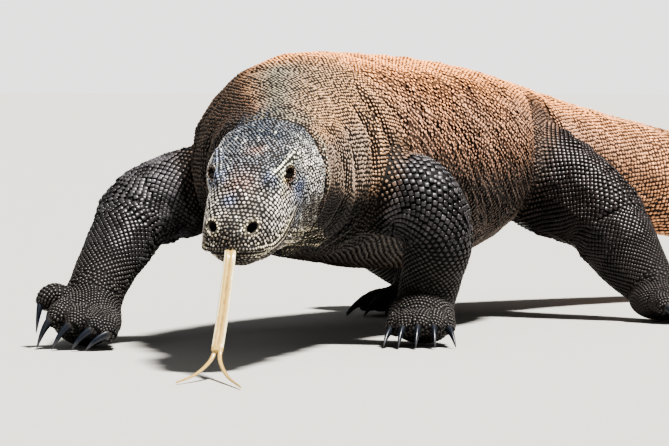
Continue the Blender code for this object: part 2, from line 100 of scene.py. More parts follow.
# Body outline: x, y, top, bottom, half-width, share of the height at the widest level, squareness,
# forward lean in degrees.
BODY = {
    "nape": (0.086, -0.252, 0.2540, 0.118, 0.060, 0.50, 2.1, 20),
    "mid_neck": (0.056, -0.175, 0.2700, 0.104, 0.076, 0.46, 2.1, 8),
    "neck_base": (0.023, -0.085, 0.2885, 0.098, 0.095, 0.46, 2.1, 2),
    "shoulders": (0.004, 0.010, 0.3050, 0.088, 0.111, 0.46, 2.1, 0),
    "chest": (-0.003, 0.120, 0.3065, 0.078, 0.118, 0.45, 2.1, 0),
    "belly": (-0.004, 0.270, 0.3030, 0.066, 0.124, 0.42, 2.2, 0),
    "flank": (0.000, 0.420, 0.2945, 0.078, 0.114, 0.43, 2.2, 0),
    "hips": (0.006, 0.560, 0.2810, 0.110, 0.092, 0.46, 2.1, 0),
    "vent": (0.030, 0.690, 0.2590, 0.106, 0.076, 0.48, 2.0, 0),
    "tail_root": (0.072, 0.810, 0.2340, 0.096, 0.062, 0.48, 2.0, 0),
    "tail_1": (0.132, 0.930, 0.2060, 0.078, 0.050, 0.48, 2.0, 0),
    "tail_2": (0.205, 1.050, 0.1700, 0.054, 0.041, 0.46, 2.0, 0),
    "tail_3": (0.265, 1.170, 0.1320, 0.026, 0.034, 0.44, 2.0, 0),
    "tail_4": (0.300, 1.290, 0.0980, 0.004, 0.029, 0.42, 2.0, 0),
    "tail_5": (0.305, 1.410, 0.0760, -0.002, 0.0245, 0.42, 2.0, 0),
    "tail_6": (0.285, 1.530, 0.0610, -0.002, 0.0200, 0.42, 2.0, 0),
    "tail_7": (0.250, 1.645, 0.0480, -0.002, 0.0160, 0.42, 2.0, 0),
    "tail_8": (0.215, 1.760, 0.0360, -0.002, 0.0120, 0.42, 2.0, 0),
    "tail_9": (0.195, 1.880, 0.0250, -0.002, 0.0085, 0.42, 2.0, 0),
    "tail_tip": (0.200, 1.990, 0.0140, -0.001, 0.0045, 0.42, 2.0, 0),
}
STATION = {name: i for i, name in enumerate([*HEAD, *BODY])}
# Legs, from the root in the body to the wrist or ankle: x, y, z, half-thickness across and over.
LEGS = {
    "front_left": [
        (0.030, 0.020, 0.165, 0.040, 0.046),
        (0.090, 0.004, 0.163, 0.042, 0.048),
        (0.140, -0.002, 0.150, 0.041, 0.046),
        (0.159, 0.002, 0.116, 0.036, 0.039),
        (0.151, 0.012, 0.078, 0.030, 0.034),
        (0.140, 0.018, 0.044, 0.028, 0.031),
    ],
    "front_right": [
        (-0.030, 0.015, 0.172, 0.040, 0.046),
        (-0.114, -0.024, 0.157, 0.040, 0.047),
        (-0.154, -0.055, 0.137, 0.037, 0.043),
        (-0.160, -0.080, 0.114, 0.034, 0.038),
        (-0.164, -0.108, 0.088, 0.031, 0.034),
        (-0.168, -0.134, 0.062, 0.029, 0.031),
    ],
    "hind_left": [
        (0.025, 0.590, 0.185, 0.050, 0.062),
        (0.104, 0.545, 0.155, 0.050, 0.062),
        (0.165, 0.526, 0.124, 0.044, 0.050),
        (0.190, 0.517, 0.096, 0.040, 0.046),
        (0.214, 0.508, 0.067, 0.034, 0.040),
        (0.236, 0.500, 0.044, 0.029, 0.032),
    ],
    "hind_right": [
        (-0.045, 0.600, 0.165, 0.050, 0.050),
        (-0.098, 0.606, 0.150, 0.050, 0.048),
        (-0.136, 0.602, 0.120, 0.044, 0.040),
        (-0.134, 0.586, 0.088, 0.036, 0.034),
        (-0.098, 0.562, 0.064, 0.029, 0.030),
        (-0.055, 0.538, 0.046, 0.026, 0.028),
    ],
}
# Feet: heading of the foot in degrees, the palm's half-sizes along, across and up, how far the toes arch
# up, and each toe from the inner to the outer: its tip out and ahead of the palm and above the floor,
# and its claw's heading.
FEET = {
    "front_left": (12, (0.035, 0.036, 0.029), 0.0110, [
        (-0.026, 0.038, 0.015, 2), (-0.012, 0.050, 0.017, 8), (0.004, 0.053, 0.018, 14),
        (0.019, 0.047, 0.018, 24), (0.032, 0.032, 0.016, 38),
    ]),
    "front_right": (-6, (0.037, 0.036, 0.030), 0.0125, [
        (-0.054, 0.046, 0.0135, -38), (-0.042, 0.058, 0.018, -42), (-0.017, 0.060, 0.0225, -46),
        (0.010, 0.054, 0.027, -50), (0.036, 0.030, 0.042, 4),
    ]),
    "hind_left": (62, (0.037, 0.040, 0.024), 0.0090, [
        (-0.034, 0.040, 0.0145, 48), (-0.020, 0.062, 0.0155, 54), (-0.001, 0.078, 0.0160, 60),
        (0.021, 0.084, 0.0160, 68), (0.046, 0.040, 0.0150, 92),
    ]),
    "hind_right": (-18, (0.037, 0.038, 0.0185), 0.0030, [
        (-0.034, 0.034, 0.0130, -2), (-0.019, 0.052, 0.0130, -8), (-0.001, 0.064, 0.0140, -14),
        (0.018, 0.068, 0.0145, -22), (0.037, 0.036, 0.0150, -46),
    ]),
}
PALM_AHEAD = 0.022  # from the wrist or ankle to the palm's middle
PALM_RINGS = 25
TOE_RADIUS = 0.0124
TOE_ROOT = (0.55, 0.006)  # a toe's root out, as a share of its tip's, and ahead of the palm's middle
TOE_SHARES = (0, 0.45, 0.78, 1)  # where each toe's root, two joints and tip lie along it
TOE_SIZES = (1.15, 1.10, 1.0, 0.80)  # and how thick it is there
KNUCKLES = (1, 0.7)  # shares of the arch at each toe's two middle joints
RING_STEP = 0.0025  # from ring to ring of the cast, along the body, legs and toes
PAST_END = 60  # how fast a point past a leg's end counts as outside it, for each metre
LOWEST_HIDE = 0.0008  # the soles' height above the floor
HIDE_TRIANGLES = 188_000
UP = np.array((0.0, 0.0, 1.0))


def unit(vectors):
    return vectors / np.maximum(np.linalg.norm(vectors, axis=-1, keepdims=True), 1e-9)


def facing(yaw, pitch):
    """The directions ahead, left and up of a section turned by yaw and leaning by pitch."""
    ahead = np.stack([np.cos(yaw) * np.cos(pitch), np.sin(yaw) * np.cos(pitch), -np.sin(pitch)], -1)
    left = np.stack([-np.sin(yaw), np.cos(yaw), 0 * yaw], -1)
    return ahead, left, np.cross(ahead, left)


def smooth_rows(rows, places):
    """A smooth curve through rows of numbers, read at places that count in rows."""
    rows = np.asarray(rows, float)
    ends = np.vstack([2 * rows[0] - rows[1], rows, 2 * rows[-1] - rows[-2]])
    i = np.clip(places.astype(int), 0, len(rows) - 2)
    t = (places - i)[:, None]
    before, a, b, after = (ends[i + k] for k in range(4))
    bend = 2 * before - 5 * a + 4 * b - after
    return 0.5 * (2 * a + (b - before) * t + bend * t**2 + (3 * a - before - 3 * b + after) * t**3)


def reach_along(line):
    """How far along a line of points each of them lies."""
    return np.r_[0, np.cumsum(np.linalg.norm(np.diff(line, axis=0), axis=1))]


def evenly(rows, step):
    """Places on the smooth curve through rows that stand about step metres apart."""
    dense = np.linspace(0, len(rows) - 1, 64 * (len(rows) - 1) + 1)
    reach = reach_along(smooth_rows(rows, dense)[:, :3])
    return np.interp(np.linspace(0, reach[-1], math.ceil(reach[-1] / step) + 1), reach, dense)


def tube_of(places, centre, along, side, over, half, up, down, square, inset=HIDE_DEPTH):
    """A tube as arrays of its stations: middle, three directions, half-sizes and squareness."""
    if inset:
        half, up, down = (np.maximum(size - inset, 0.001) for size in (half, up, down))
    return SimpleNamespace(
        place=places, reach=reach_along(centre), centre=centre, along=along, side=side, over=over,
        half=half, up=up, down=down, square=square,
    )


def body_tube():
    """Nose to tail tip, in one tube."""
    rows = []
    ahead, _, up = facing(np.array(HEAD_YAW), np.array(HEAD_PITCH))
    for along, half, top, wide, bottom, square in HEAD.values():
        centre = OCCIPUT + ahead * along + up * wide
        rows.append([*centre, HEAD_YAW, HEAD_PITCH, half, top - wide, wide - bottom, square])
    line = [(x, y) for x, y, *_ in BODY.values()]
    for i, (x, y, top, bottom, half, share, square, lean) in enumerate(BODY.values()):
        ahead = line[i - 1] if i else OCCIPUT[:2]
        behind = line[min(i + 1, len(line) - 1)]
        yaw = math.atan2(ahead[1] - behind[1], ahead[0] - behind[0])
        wide = bottom + share * (top - bottom)
        rows.append([x, y, wide, yaw, math.radians(lean), half, top - wide, wide - bottom, square])
    places = evenly(rows, RING_STEP)
    r = smooth_rows(rows, places)
    ahead, left, up = facing(r[:, 3], r[:, 4])
    return tube_of(places, r[:, :3], -ahead, left, up, r[:, 5], r[:, 6], r[:, 7], r[:, 8])


def limb_tube(rows, flip=1):
    """A leg or toe along rows of x, y, z and two half-thicknesses."""
    places = evenly(rows, RING_STEP)
    last, nudge = len(rows) - 1, 0.02
    r = smooth_rows(rows, places)
    ahead = smooth_rows(rows, np.minimum(places + nudge, last))[:, :3]
    behind = smooth_rows(rows, np.maximum(places - nudge, 0))[:, :3]
    along = unit(ahead - behind)
    side = unit(np.array((0.0, 1.0, 0.0)) - along * along[:, 1:2]) * flip
    square = np.full(len(r), 2.0)
    return tube_of(places, r[:, :3], along, side, np.cross(along, side), r[:, 3], r[:, 4], r[:, 4], square)


def heading(degrees):
    """A level direction: 0 is straight ahead and positive turns to the animal's left."""
    return np.array((math.sin(math.radians(degrees)), -math.cos(math.radians(degrees)), 0.0))


def foot_tubes(leg, limb):
    """The ankle, palm and toes of one foot."""
    turn, palm_size, arch, toes = FEET[leg]
    ahead, out = heading(turn), heading(turn + (90 if "left" in leg else -90))
    wrist = np.array(LEGS[leg][-1])
    a, b = wrist[3:]
    palm = np.array((wrist[0], wrist[1], palm_size[2] + 0.001)) + ahead * PALM_AHEAD
    middle = (wrist[:3] + palm) / 2
    start = wrist[:3] - limb.along[-1] * 0.004
    made = [limb_tube([(*start, a, b), (*middle, a, b), (*palm, a * 0.95, b * 0.85)])]
    t = np.linspace(-0.985, 0.985, PALM_RINGS)
    round_off = np.sqrt(1 - t**2)
    centre = palm + ahead * (t * palm_size[0])[:, None]
    same = np.ones((len(t), 1))
    sizes = [palm_size[1] * round_off, palm_size[2] * round_off, palm_size[2] * round_off]
    directions = (ahead * same, np.cross(UP, ahead) * same, UP * same)
    made.append(tube_of(t, centre, *directions, *sizes, 2.0 + 0 * t))
    for aside, forth, high, _ in toes:
        tip = palm + out * aside + ahead * forth
        root = palm + out * (aside * TOE_ROOT[0]) + ahead * TOE_ROOT[1]
        rows = []
        heights = (max(palm[2], high), high + arch * KNUCKLES[0], high + arch * KNUCKLES[1], high)
        for share, height, size in zip(TOE_SHARES, heights, TOE_SIZES):
            x, y, _ = root + (tip - root) * share
            rows.append((x, y, height, TOE_RADIUS * size, TOE_RADIUS * size * 0.95))
        made.append(limb_tube(rows))
    return made


def read(tube, values, reach):
    """A tube's own values at distances along it."""
    if values.ndim == 1:
        return np.interp(reach, tube.reach, values)
    return np.stack([np.interp(reach, tube.reach, v) for v in values.T], -1)


def outline(tube, reach, angles):
    """Points on a tube's side. Angle 0 is its top and positive turns to its own side direction."""
    across, high = np.sin(angles), np.cos(angles)
    power = 2 / read(tube, tube.square, reach)
    tall = np.where(high > 0, read(tube, tube.up, reach), read(tube, tube.down, reach))
    across = np.sign(across) * np.abs(across) ** power * read(tube, tube.half, reach)
    high = np.sign(high) * np.abs(high) ** power * tall
    side, over = read(tube, tube.side, reach), read(tube, tube.over, reach)
    return read(tube, tube.centre, reach) + side * across[:, None] + over * high[:, None]


def tubes_mesh(name, tubes, sides=56):
    """One mesh of closed tubes, which still run through each other."""
    points, faces, count = [], [], 0
    angles = np.linspace(0, math.tau, sides, endpoint=False)
    for tube in tubes:
        rings = len(tube.reach)
        points.append(outline(tube, np.repeat(tube.reach, sides), np.tile(angles, rings)))
        ring = np.arange(rings - 1)[:, None] * sides + np.arange(sides)
        nxt = np.arange(rings - 1)[:, None] * sides + (np.arange(sides) + 1) % sides
        quads = np.stack([ring, nxt, nxt + sides, ring + sides], -1).reshape(-1, 4) + count
        faces += quads.tolist()
        faces.append((np.arange(sides)[::-1] + count).tolist())
        faces.append((np.arange(sides) + count + (rings - 1) * sides).tolist())
        count += rings * sides
    mesh = bpy.data.meshes.new(name)
    mesh.from_pydata(np.concatenate(points), [], faces)
    return mesh


def new_object(name, mesh):
    obj = bpy.data.objects.new(name, mesh)
    bpy.context.scene.collection.objects.link(obj)
    return obj


def settle(obj):
    """Replaces the object's mesh by what its modifiers give."""
    bpy.context.view_layer.update()
    graph = bpy.context.evaluated_depsgraph_get()
    mesh = bpy.data.meshes.new_from_object(obj.evaluated_get(graph))
    obj.modifiers.clear()
    obj.data = mesh


def points_of(mesh):
    co = np.empty(len(mesh.vertices) * 3, np.float32)
    mesh.vertices.foreach_get("co", co)
    return co.reshape(-1, 3).astype(float)


def normals_of(mesh):
    out = np.empty(len(mesh.vertices) * 3, np.float32)
    mesh.vertex_normals.foreach_get("vector", out)
    return out.reshape(-1, 3).astype(float)


def move_points(mesh, points):
    mesh.vertices.foreach_set("co", points.astype(np.float32).ravel())
    mesh.update()


def on_tube(tube, points):
    """For each point: its place along the tube, its angle round it, its share of the way out to the
    side, and how far it lies past an end."""
    coarse = slice(None, None, max(1, min(4, len(tube.reach) // 12)))
    stations = tube.centre[coarse]
    near, batch = np.empty(len(points), int), 20000
    for start in range(0, len(points), batch):
        part = points[start : start + batch]
        gaps = (part**2).sum(1)[:, None] - 2 * part @ stations.T + (stations**2).sum(1)
        near[start : start + batch] = gaps.argmin(1)
    base = tube.centre[coarse][near]
    reach = tube.reach[coarse][near] + ((points - base) * tube.along[coarse][near]).sum(1)
    inside = np.clip(reach, 0, tube.reach[-1])
    past = np.abs(reach - inside)

    def here(values):
        return read(tube, values, inside)

    offset = points - here(tube.centre)
    across = (offset * here(tube.side)).sum(1)
    high = (offset * here(tube.over)).sum(1)
    square = here(tube.square)
    x = (np.abs(across) / here(tube.half)) ** square
    z = (np.abs(high) / np.where(high > 0, here(tube.up), here(tube.down))) ** square
    angle = np.arctan2(np.sign(across) * np.sqrt(x), np.sign(high) * np.sqrt(z))
    return here(tube.place), angle, (x + z) ** (1 / square), past


def ramp(values, low, high):
    """0 up to low, 1 from high, and a smooth rise between."""
    t = np.clip((values - low) / (high - low), 0, 1)
    return t * t * (3 - 2 * t)


def bell(values, half):
    return np.exp(-((values / half) ** 2))


def spot(points, size, place, stretch=(1, 1, 1)):
    """1 at a place, fading away from it over a size, which may be stretched along each axis."""
    return bell(np.linalg.norm((points - place) / stretch, axis=1), size)


def ripple(points, size, seed):
    """A smooth random field between about -1 and 1 with swells of that size."""
    dice = np.random.default_rng(seed)
    waves = unit(dice.normal(size=(9, 3))) * (math.tau / size) * dice.uniform(0.6, 1.5, (9, 1))
    return np.sin(points @ waves.T + dice.uniform(0, math.tau, 9)).sum(1) / 3


def near_line(points, line):
    """The nearest spot to each point on a line through a few points."""
    line = np.asarray(line, float)
    best, nearest = np.full(len(points), 1e9), np.zeros_like(points)
    for a, b in zip(line, line[1:]):
        t = np.clip((points - a) @ (b - a) / ((b - a) @ (b - a)), 0, 1)
        here = a + t[:, None] * (b - a)
        gap = np.linalg.norm(points - here, axis=1)
        nearest = np.where((gap < best)[:, None], here, nearest)
        best = np.minimum(gap, best)
    return nearest


def from_line(points, line):
    return np.linalg.norm(points - near_line(points, line), axis=1)


body = body_tube()
limbs = {leg: limb_tube(rows, 1 if "left" in leg else -1) for leg, rows in LEGS.items()}
feet = {leg: foot_tubes(leg, limbs[leg]) for leg in LEGS}
palm_middles = {leg: feet[leg][1].centre[PALM_RINGS // 2] for leg in LEGS}
head_axes = np.array(facing(np.array(HEAD_YAW), np.array(HEAD_PITCH)))


def mirrored(points):
    """Points in the head's frame, with its right side folded over onto its left."""
    head = (points - OCCIPUT) @ head_axes.T
    return np.column_stack([head[:, 0], np.abs(head[:, 1]), head[:, 2]])


def survey(points):
    """Where each point of the hide lies: on the body, on which leg or foot, and in the head's frame."""
    place, angle, share, _ = on_tube(body, points)
    left = (points - OCCIPUT) @ head_axes[1]
    leg_share = np.full((len(LEGS), len(points)), 9.0)
    leg_place = np.zeros((len(LEGS), len(points)))
    leg_angle = np.zeros((len(LEGS), len(points)))
    foot_gap = np.full((len(LEGS), len(points)), 9.0)
    for k, leg in enumerate(LEGS):
        close = np.abs(points - limbs[leg].centre.mean(0)).max(1) < 0.2
        found = on_tube(limbs[leg], points[close])
        leg_place[k, close], leg_angle[k, close] = found[0], found[1]
        leg_share[k, close] = found[2] + found[3] * PAST_END
        foot_gap[k] = np.linalg.norm(points - palm_middles[leg], axis=1)
    nearest = leg_share.argmin(0)
    pick = np.arange(len(points))
    foot = foot_gap.argmin(0)
    on_leg = ramp(share, 1.04, 1.30) * ((leg_share.min(0) < 1.7) | (foot_gap.min(0) < 0.125))
    return SimpleNamespace(
        points=points, place=place, angle=angle, share=share, head=mirrored(points), left=left,
        leg=nearest, leg_share=leg_share[nearest, pick], leg_place=leg_place[nearest, pick],
        leg_angle=leg_angle[nearest, pick], foot=foot, foot_gap=foot_gap[foot, pick], on_leg=on_leg,
    )


def relax(points, edges, weight, rounds):
    """Moves each point towards the middle of its neighbours, by one weight or its own, some rounds long."""
    ends = np.concatenate([edges, edges[:, ::-1]])
    degree = np.bincount(ends[:, 0], minlength=len(points))[:, None]
    for _ in range(rounds):
        sums = [np.bincount(ends[:, 0], points[ends[:, 1], k], len(points)) for k in range(3)]
        points = points + (np.stack(sums, -1) / np.maximum(degree, 1) - points) * np.reshape(weight, (-1, 1))
    return points


def edges_of(mesh):
    ends = np.empty(len(mesh.edges) * 2, np.int32)
    mesh.edges.foreach_get("vertices", ends)
    return ends.reshape(-1, 2)


def subdivide(mesh, chosen):
    """Halves the edges between chosen points."""
    form = bmesh.new()
    form.from_mesh(mesh)
    form.verts.ensure_lookup_table()
    edges = [e for e in form.edges if chosen[e.verts[0].index] and chosen[e.verts[1].index]]
    bmesh.ops.subdivide_edges(form, edges=edges, cuts=1, use_grid_fill=True)
    form.to_mesh(mesh)
    form.free()


def cast_hide():
    """The body, legs and feet run together in one surface, softened where the legs join."""
    parts = [body, *limbs.values()] + [tube for made in feet.values() for tube in made]
    obj = new_object("hide", tubes_mesh("hide", parts))
    remesh = obj.modifiers.new("cast", "REMESH")
    remesh.mode = "VOXEL"
    remesh.voxel_size = VOXEL
    settle(obj)
    points, edges = points_of(obj.data), edges_of(obj.data)
    points = relax(points, edges, 0.5, 6)
    at = survey(points)
    joint = ramp(-at.share, -1.55, -1.15) * ramp(-at.leg_share, -1.6, -1.2)
    joint = joint * (at.place > STATION["mid_neck"])
    points = relax(points, edges, joint * np.where(at.leg >= 2, 0.6, 0.35), 34)
    points = relax(points, edges, 0.5, 3)
    move_points(obj.data, points)
    for region in (on_face, by_openings):
        subdivide(obj.data, region(survey(points_of(obj.data))))
    return obj


def mouth_height(ahead):
    line = np.array(MOUTH)[::-1]
    return np.interp(ahead, line[:, 0], line[:, 1])


def over_mouth(head):
    """How far each point of the head lies above the mouth's line."""
    return head[:, 2] - mouth_height(head[:, 0])


def brow_gap(head):
    """How far each point of the head lies from the brow's crest, seen from above."""
    flat = (1, 1, 0)
    return from_line(head * flat, np.array(BROW[1:]) * flat)


def eye_axes():
    """The way the eye looks, and the ways its opening is long and high."""
    axis = unit(EYE_AXIS)
    level = unit(EYE_LEVEL - axis * (axis @ EYE_LEVEL))
    return axis, level, np.cross(axis, level)


def eye_view(head):
    """How each point lies about the eyeball: its distance, how far it lies in front, its place in the
    opening, whose edge is at 1, and its direction."""
    axis, level, upright = eye_axes()
    offset = head - EYE_PLACE
    gap = np.linalg.norm(offset, axis=1)
    direction = offset / gap[:, None]
    opening = np.hypot(direction @ level / EYE_OPENING[0], direction @ upright / EYE_OPENING[1])
    return gap, direction @ axis, opening, direction


def on_face(at):
    """The head, which needs a finer grain than the body."""
    return (at.place < STATION["nape"]) & (at.head[:, 0] > -0.025)


def by_openings(at):
    """The lips, lids and nostrils, which need the finest grain."""
    lip = (np.abs(over_mouth(at.head)) < 0.006) & (at.head[:, 0] > 0.066)
    eye = np.linalg.norm(at.head - EYE_PLACE, axis=1) < 0.017
    nose = np.linalg.norm(at.head - NOSTRIL, axis=1) < 0.009
    return (at.place < STATION["rear"]) & (lip | eye | nose)


def behind_crease(at):
    """How far each point lies behind the crease of cheek and nape, or ahead of it where below 0."""
    nearest = near_line(at.head, CREASE)
    gap = np.linalg.norm(at.head - nearest, axis=1)
    gap = np.where(at.head[:, 0] < nearest[:, 0], gap, -gap)
    return np.where(at.place < STATION["brows"], -1.0, np.where(at.place < STATION["mid_neck"], gap, 1.0))


def nostril_gap(h):
    """How far each point lies from the middle of the slanting oval nostril; the rim is at 1."""
    axes = np.array((NOSTRIL_SLANT, np.cross(NOSTRIL_SLANT, NOSTRIL_OUT), NOSTRIL_OUT))
    return np.linalg.norm((h - NOSTRIL) @ axes.T / NOSTRIL_SIZE, axis=1)


def throat_folds(at):
    """Where the throat is folded, and how deep in a fold each point lies: 1 in its bottom."""
    h = at.head
    below = ramp(-over_mouth(h), 0.006, 0.014)
    reach = ramp(at.place, 4.4, 5.2) * ramp(-at.place, -12.2, -10.7) * ramp(np.abs(at.angle), 1.45, 1.75)
    reach = reach * ramp(-at.points[:, 2], -THROAT_FOLD - 0.009, -THROAT_FOLD - 0.004)
    reach = reach * np.where(at.place > STATION["jaw_corner"], ramp(np.abs(at.angle), 2.44, 2.58), 1)
    height = at.points[:, 2] + 0.0015 * ripple(at.points, 0.06, 4) - THROAT_FOLD
    depth = 1 - np.abs(np.sin(height * math.pi / THROAT_STEP)) ** 0.6
    return below * reach * (1 - at.on_leg), depth


# The blunt edge from brow to nostril, then the head's swellings and hollows: height, size, place and
# how each is stretched.
SNOUT_EDGE = [
    (0.104, 0.0262, 0.0125), (0.126, 0.0235, 0.0128), (0.160, 0.0235, 0.0085), (0.172, 0.0225, 0.006),
]
HEAD_FORMS = {
    "eye_socket": (-0.0040, 0.0130, EYE_PLACE + (0.006, 0.006, -0.001), (1.25, 1, 1)),
    "before_eye": (-0.0030, 0.0110, (0.126, 0.040, -0.008), (1.8, 1, 1)),
    "crown_dip": (-0.0020, 0.0100, (0.062, 0.000, 0.0150), (2.2, 1, 1)),
    "snout_ridge": (0.0014, 0.0140, (0.122, 0.000, 0.0150), (1.8, 0.8, 1)),
    "snout_dip": (-0.0016, 0.0080, (0.156, 0.000, 0.0120), (1.2, 1.2, 1)),
    "below_eye": (0.0026, 0.0090, (0.074, 0.0440, -0.0160), (1, 1, 1)),
    "jaw_muscle": (0.0036, 0.0220, (0.040, 0.0545, -0.036), (1, 1, 1.1)),
    "nose_swell": (0.0020, 0.0090, NOSTRIL + (-0.003, 0.002, 0), (1, 1, 1)),
}


def head_relief(at):
    """How far each point of the head stands out, from the big forms to the lips and nostrils."""
    h = at.head
    rise = 0.0016 * bell(from_line(h, SNOUT_EDGE), 0.0050)
    for height, size, place, stretch in HEAD_FORMS.values():
        rise += height * spot(h, size, place, stretch)
    nostril = nostril_gap(h)
    rise += 0.0013 * bell(nostril - 1.45, 0.35) - 0.0085 * ramp(-nostril, -1.10, -0.45)
    rise -= 0.0030 * spot(h, 0.0038, EAR, EAR_SHAPE)
    rise += 0.0007 * ripple(at.points, 0.030, 11) * ramp(-h[:, 0], -0.16, -0.05)
    lip = over_mouth(h)
    front = (0.25 + 0.75 * ramp(h[:, 0], 0.096, 0.120)) * ramp(h[:, 0], 0.066, 0.080)
    rise += front * 0.0020 * bell(lip - 0.0036, 0.0030)
    rise -= front * 0.0042 * bell(lip + 0.0004, 0.0015)
    rise -= front * 0.0034 * ramp(-lip, 0.0004, 0.0022) * ramp(lip, -0.022, -0.008)
    return rise * (at.place < STATION["nape"])


def flank_folds(at):
    """The slanting folds behind the shoulder: how strong they are, and how deep in one each point lies."""
    round_side = np.abs(at.angle)
    slant = at.points[:, 1] - 0.15 * (round_side - 0.79) + 0.0055 * ripple(at.points, 0.07, 3)
    reach = ramp(at.place, 12.7, 13.3) * ramp(-at.place, -17.2, -15.4)
    reach = reach * ramp(round_side, 0.35, 0.80) * ramp(-round_side, -2.4, -1.9)
    depth = 1 - np.abs(np.sin((slant - FLANK_FOLD) * math.pi / FLANK_STEP)) ** 0.7
    return reach * (0.65 + 0.35 * ramp(ripple(at.points, 0.05, 7), -0.8, 0.8)), depth, slant


def fold_relief(at):
    """The loose skin's folds: nape and cheek crease, throat, neck, shoulder, flank and groin."""
    p, round_side = at.points, np.abs(at.angle)
    behind = behind_crease(at)  # the crease, and the swelling behind it
    deep = 0.35 + 0.65 * ramp(round_side, 0.45, 0.9)
    rise = -0.0075 * deep * bell(behind, 0.0030) * ramp(round_side, 0.15, 0.5)
    rise += 0.0030 * (deep - 0.35) * bell(behind - 0.0075, 0.0050)
    wander = 0.004 * ripple(p, 0.09, 3)
    folded, depth = throat_folds(at)
    rise += 0.0052 * folded * (0.45 - depth)
    neck = ramp(at.place, 9.8, 10.4) * ramp(-at.place, -12.7, -12.2) * ramp(round_side, 0.6, 1.2)
    rings = at.place + wander * 24 + 0.2 * np.cos(round_side)
    rise += 0.0034 * neck * (2 * np.abs(np.sin(rings * math.pi / 0.80)) ** 0.6 - 1)
    shoulder = ramp(round_side, 0.8, 1.1) * ramp(-round_side, -1.9, -1.5)
    rise -= 0.0090 * bell(p[:, 1] + 0.008 - 0.03 * (round_side - 1.3), 0.007) * shoulder
    neck_base = bell(p[:, 1] + 0.050 + 0.05 * (round_side - 1.3) + wander, 0.008)
    rise -= 0.0060 * neck_base * ramp(round_side, 0.5, 0.9)
    flank, flank_depth, slant = flank_folds(at)
    rise += 0.0078 * flank * (0.45 - flank_depth)
    rise += 0.0008 * flank * np.sin(slant * math.tau / 0.0105 + 2 * ripple(p, 0.05, 5))  # fine wrinkles
    side_line = ramp(at.place, 14, 15) * ramp(-at.place, -19, -17.5)
    rise -= 0.0016 * side_line * bell(round_side - 1.95 + 0.1 * ripple(p, 0.15, 6), 0.07)
    groin = bell(at.leg_share - 1.32, 0.10) * ramp(-at.on_leg, -0.9, -0.4) * (at.leg >= 2)
    rise -= 0.0060 * groin * ramp(-at.leg_place, -2.4, -1.6) * ramp(round_side, 0.55, 0.95)
    return rise * (1 - 0.8 * at.on_leg)


def limb_relief(at):
    """Creases where the legs leave the body, wrinkles at elbow, knee and wrist, and the tail's keel."""
    p = at.points
    around = ramp(at.share, 1.0, 1.2) * ramp(-at.leg_place, -2.4, -1.2) * (at.leg_share < 1.5)
    rise = -0.0010 * around * np.sin(at.leg_place * math.tau / 0.42 + 2 * ripple(p, 0.06, 8))
    bend = bell(at.leg_place - 2.5, 0.9) * at.on_leg * (at.foot_gap > 0.05)
    rise += 0.0009 * bend * np.sin(at.leg_place * math.tau / 0.24 + ripple(p, 0.05, 9))
    tail = ramp(at.place, 18, 20) * (1 - at.on_leg)
    rise += 0.0022 * tail * bell(at.angle, 0.16) * ramp(p[:, 2], 0.004, 0.02)
    return rise + 0.0007 * ripple(p, 0.035, 10) * (1 - 0.5 * at.on_leg)


def raise_brows(at, points):
    """Lifts the skin over each eye to a crest, and lets it fall steeply on the eye's side."""
    flat = (1, 1, 0)
    crest = near_line(at.head * flat, np.array(BROW) * flat)
    gap = np.linalg.norm(at.head * flat - crest, axis=1)
    high = np.interp(crest[:, 0], *np.array(BROW)[::-1, [0, 2]].T)
    slope = np.where(at.head[:, 1] > crest[:, 1], 0.0034, 0.0078)
    lift = high - at.head[:, 2] - (gap / slope) ** 2 * 0.0040
    near = (at.place < STATION["rear"]) & (at.head[:, 2] > -0.02) & (at.head[:, 0] > 0.045)
    return points + head_axes[2] * (np.clip(lift, 0, 0.009) * near)[:, None]


def shape_lids(at, points):
    """Draws the skin over the eyeball as two lids, and sinks what lies between them."""
    gap, out, opening, direction = eye_view(at.head)
    near = (at.place < STATION["rear"]) & (out > -0.3) & (gap < 0.022)
    lid = LID + 0.0014 * bell(opening - 1.25, 0.22) - 0.0004 * ramp(opening, 1.5, 1.9)
    blend = np.where(out > 0, ramp(opening, 0.92, 1.04), 1)
    wanted = np.minimum(gap, SOCKET) * (1 - blend) + np.maximum(gap, lid) * blend
    moved = np.where(near, wanted, gap)
    step = direction * (moved - gap)[:, None]
    step[:, 1] *= np.sign(at.left)
    return points + step @ head_axes


def sculpt(obj):
    """Raises the folds and forms, then the brows and lids, and levels the soles."""
    at = survey(points_of(obj.data))
    for relief in (fold_relief, limb_relief, head_relief):
        move_points(obj.data, points_of(obj.data) + normals_of(obj.data) * relief(at)[:, None])
    points = raise_brows(at, points_of(obj.data))
    at.head = mirrored(points)
    points = shape_lids(at, points)
    points[:, 2] = np.maximum(points[:, 2], LOWEST_HIDE)
    move_points(obj.data, points)


def thin_out(obj, target):
    """Takes faces away where the hide is plain, and keeps them on the head and feet."""
    at = survey(points_of(obj.data))
    keep = np.maximum(0.9 * (at.place < STATION["nape"]), 0.5 * (at.foot_gap < 0.09))
    group = obj.vertex_groups.new(name="keep")
    for level in (0.5, 0.9):
        group.add(np.nonzero(np.isclose(keep, level))[0].tolist(), 1 - level, "REPLACE")
    group.add(np.nonzero(keep == 0)[0].tolist(), 1.0, "REPLACE")
    obj.data.calc_loop_triangles()
    fewer = obj.modifiers.new("fewer_faces", "DECIMATE")
    fewer.ratio = min(1, target / len(obj.data.loop_triangles))
    fewer.vertex_group = "keep"
    fewer.vertex_group_factor = 1.0
    fewer.use_collapse_triangulate = True
    settle(obj)
    obj.vertex_groups.clear()


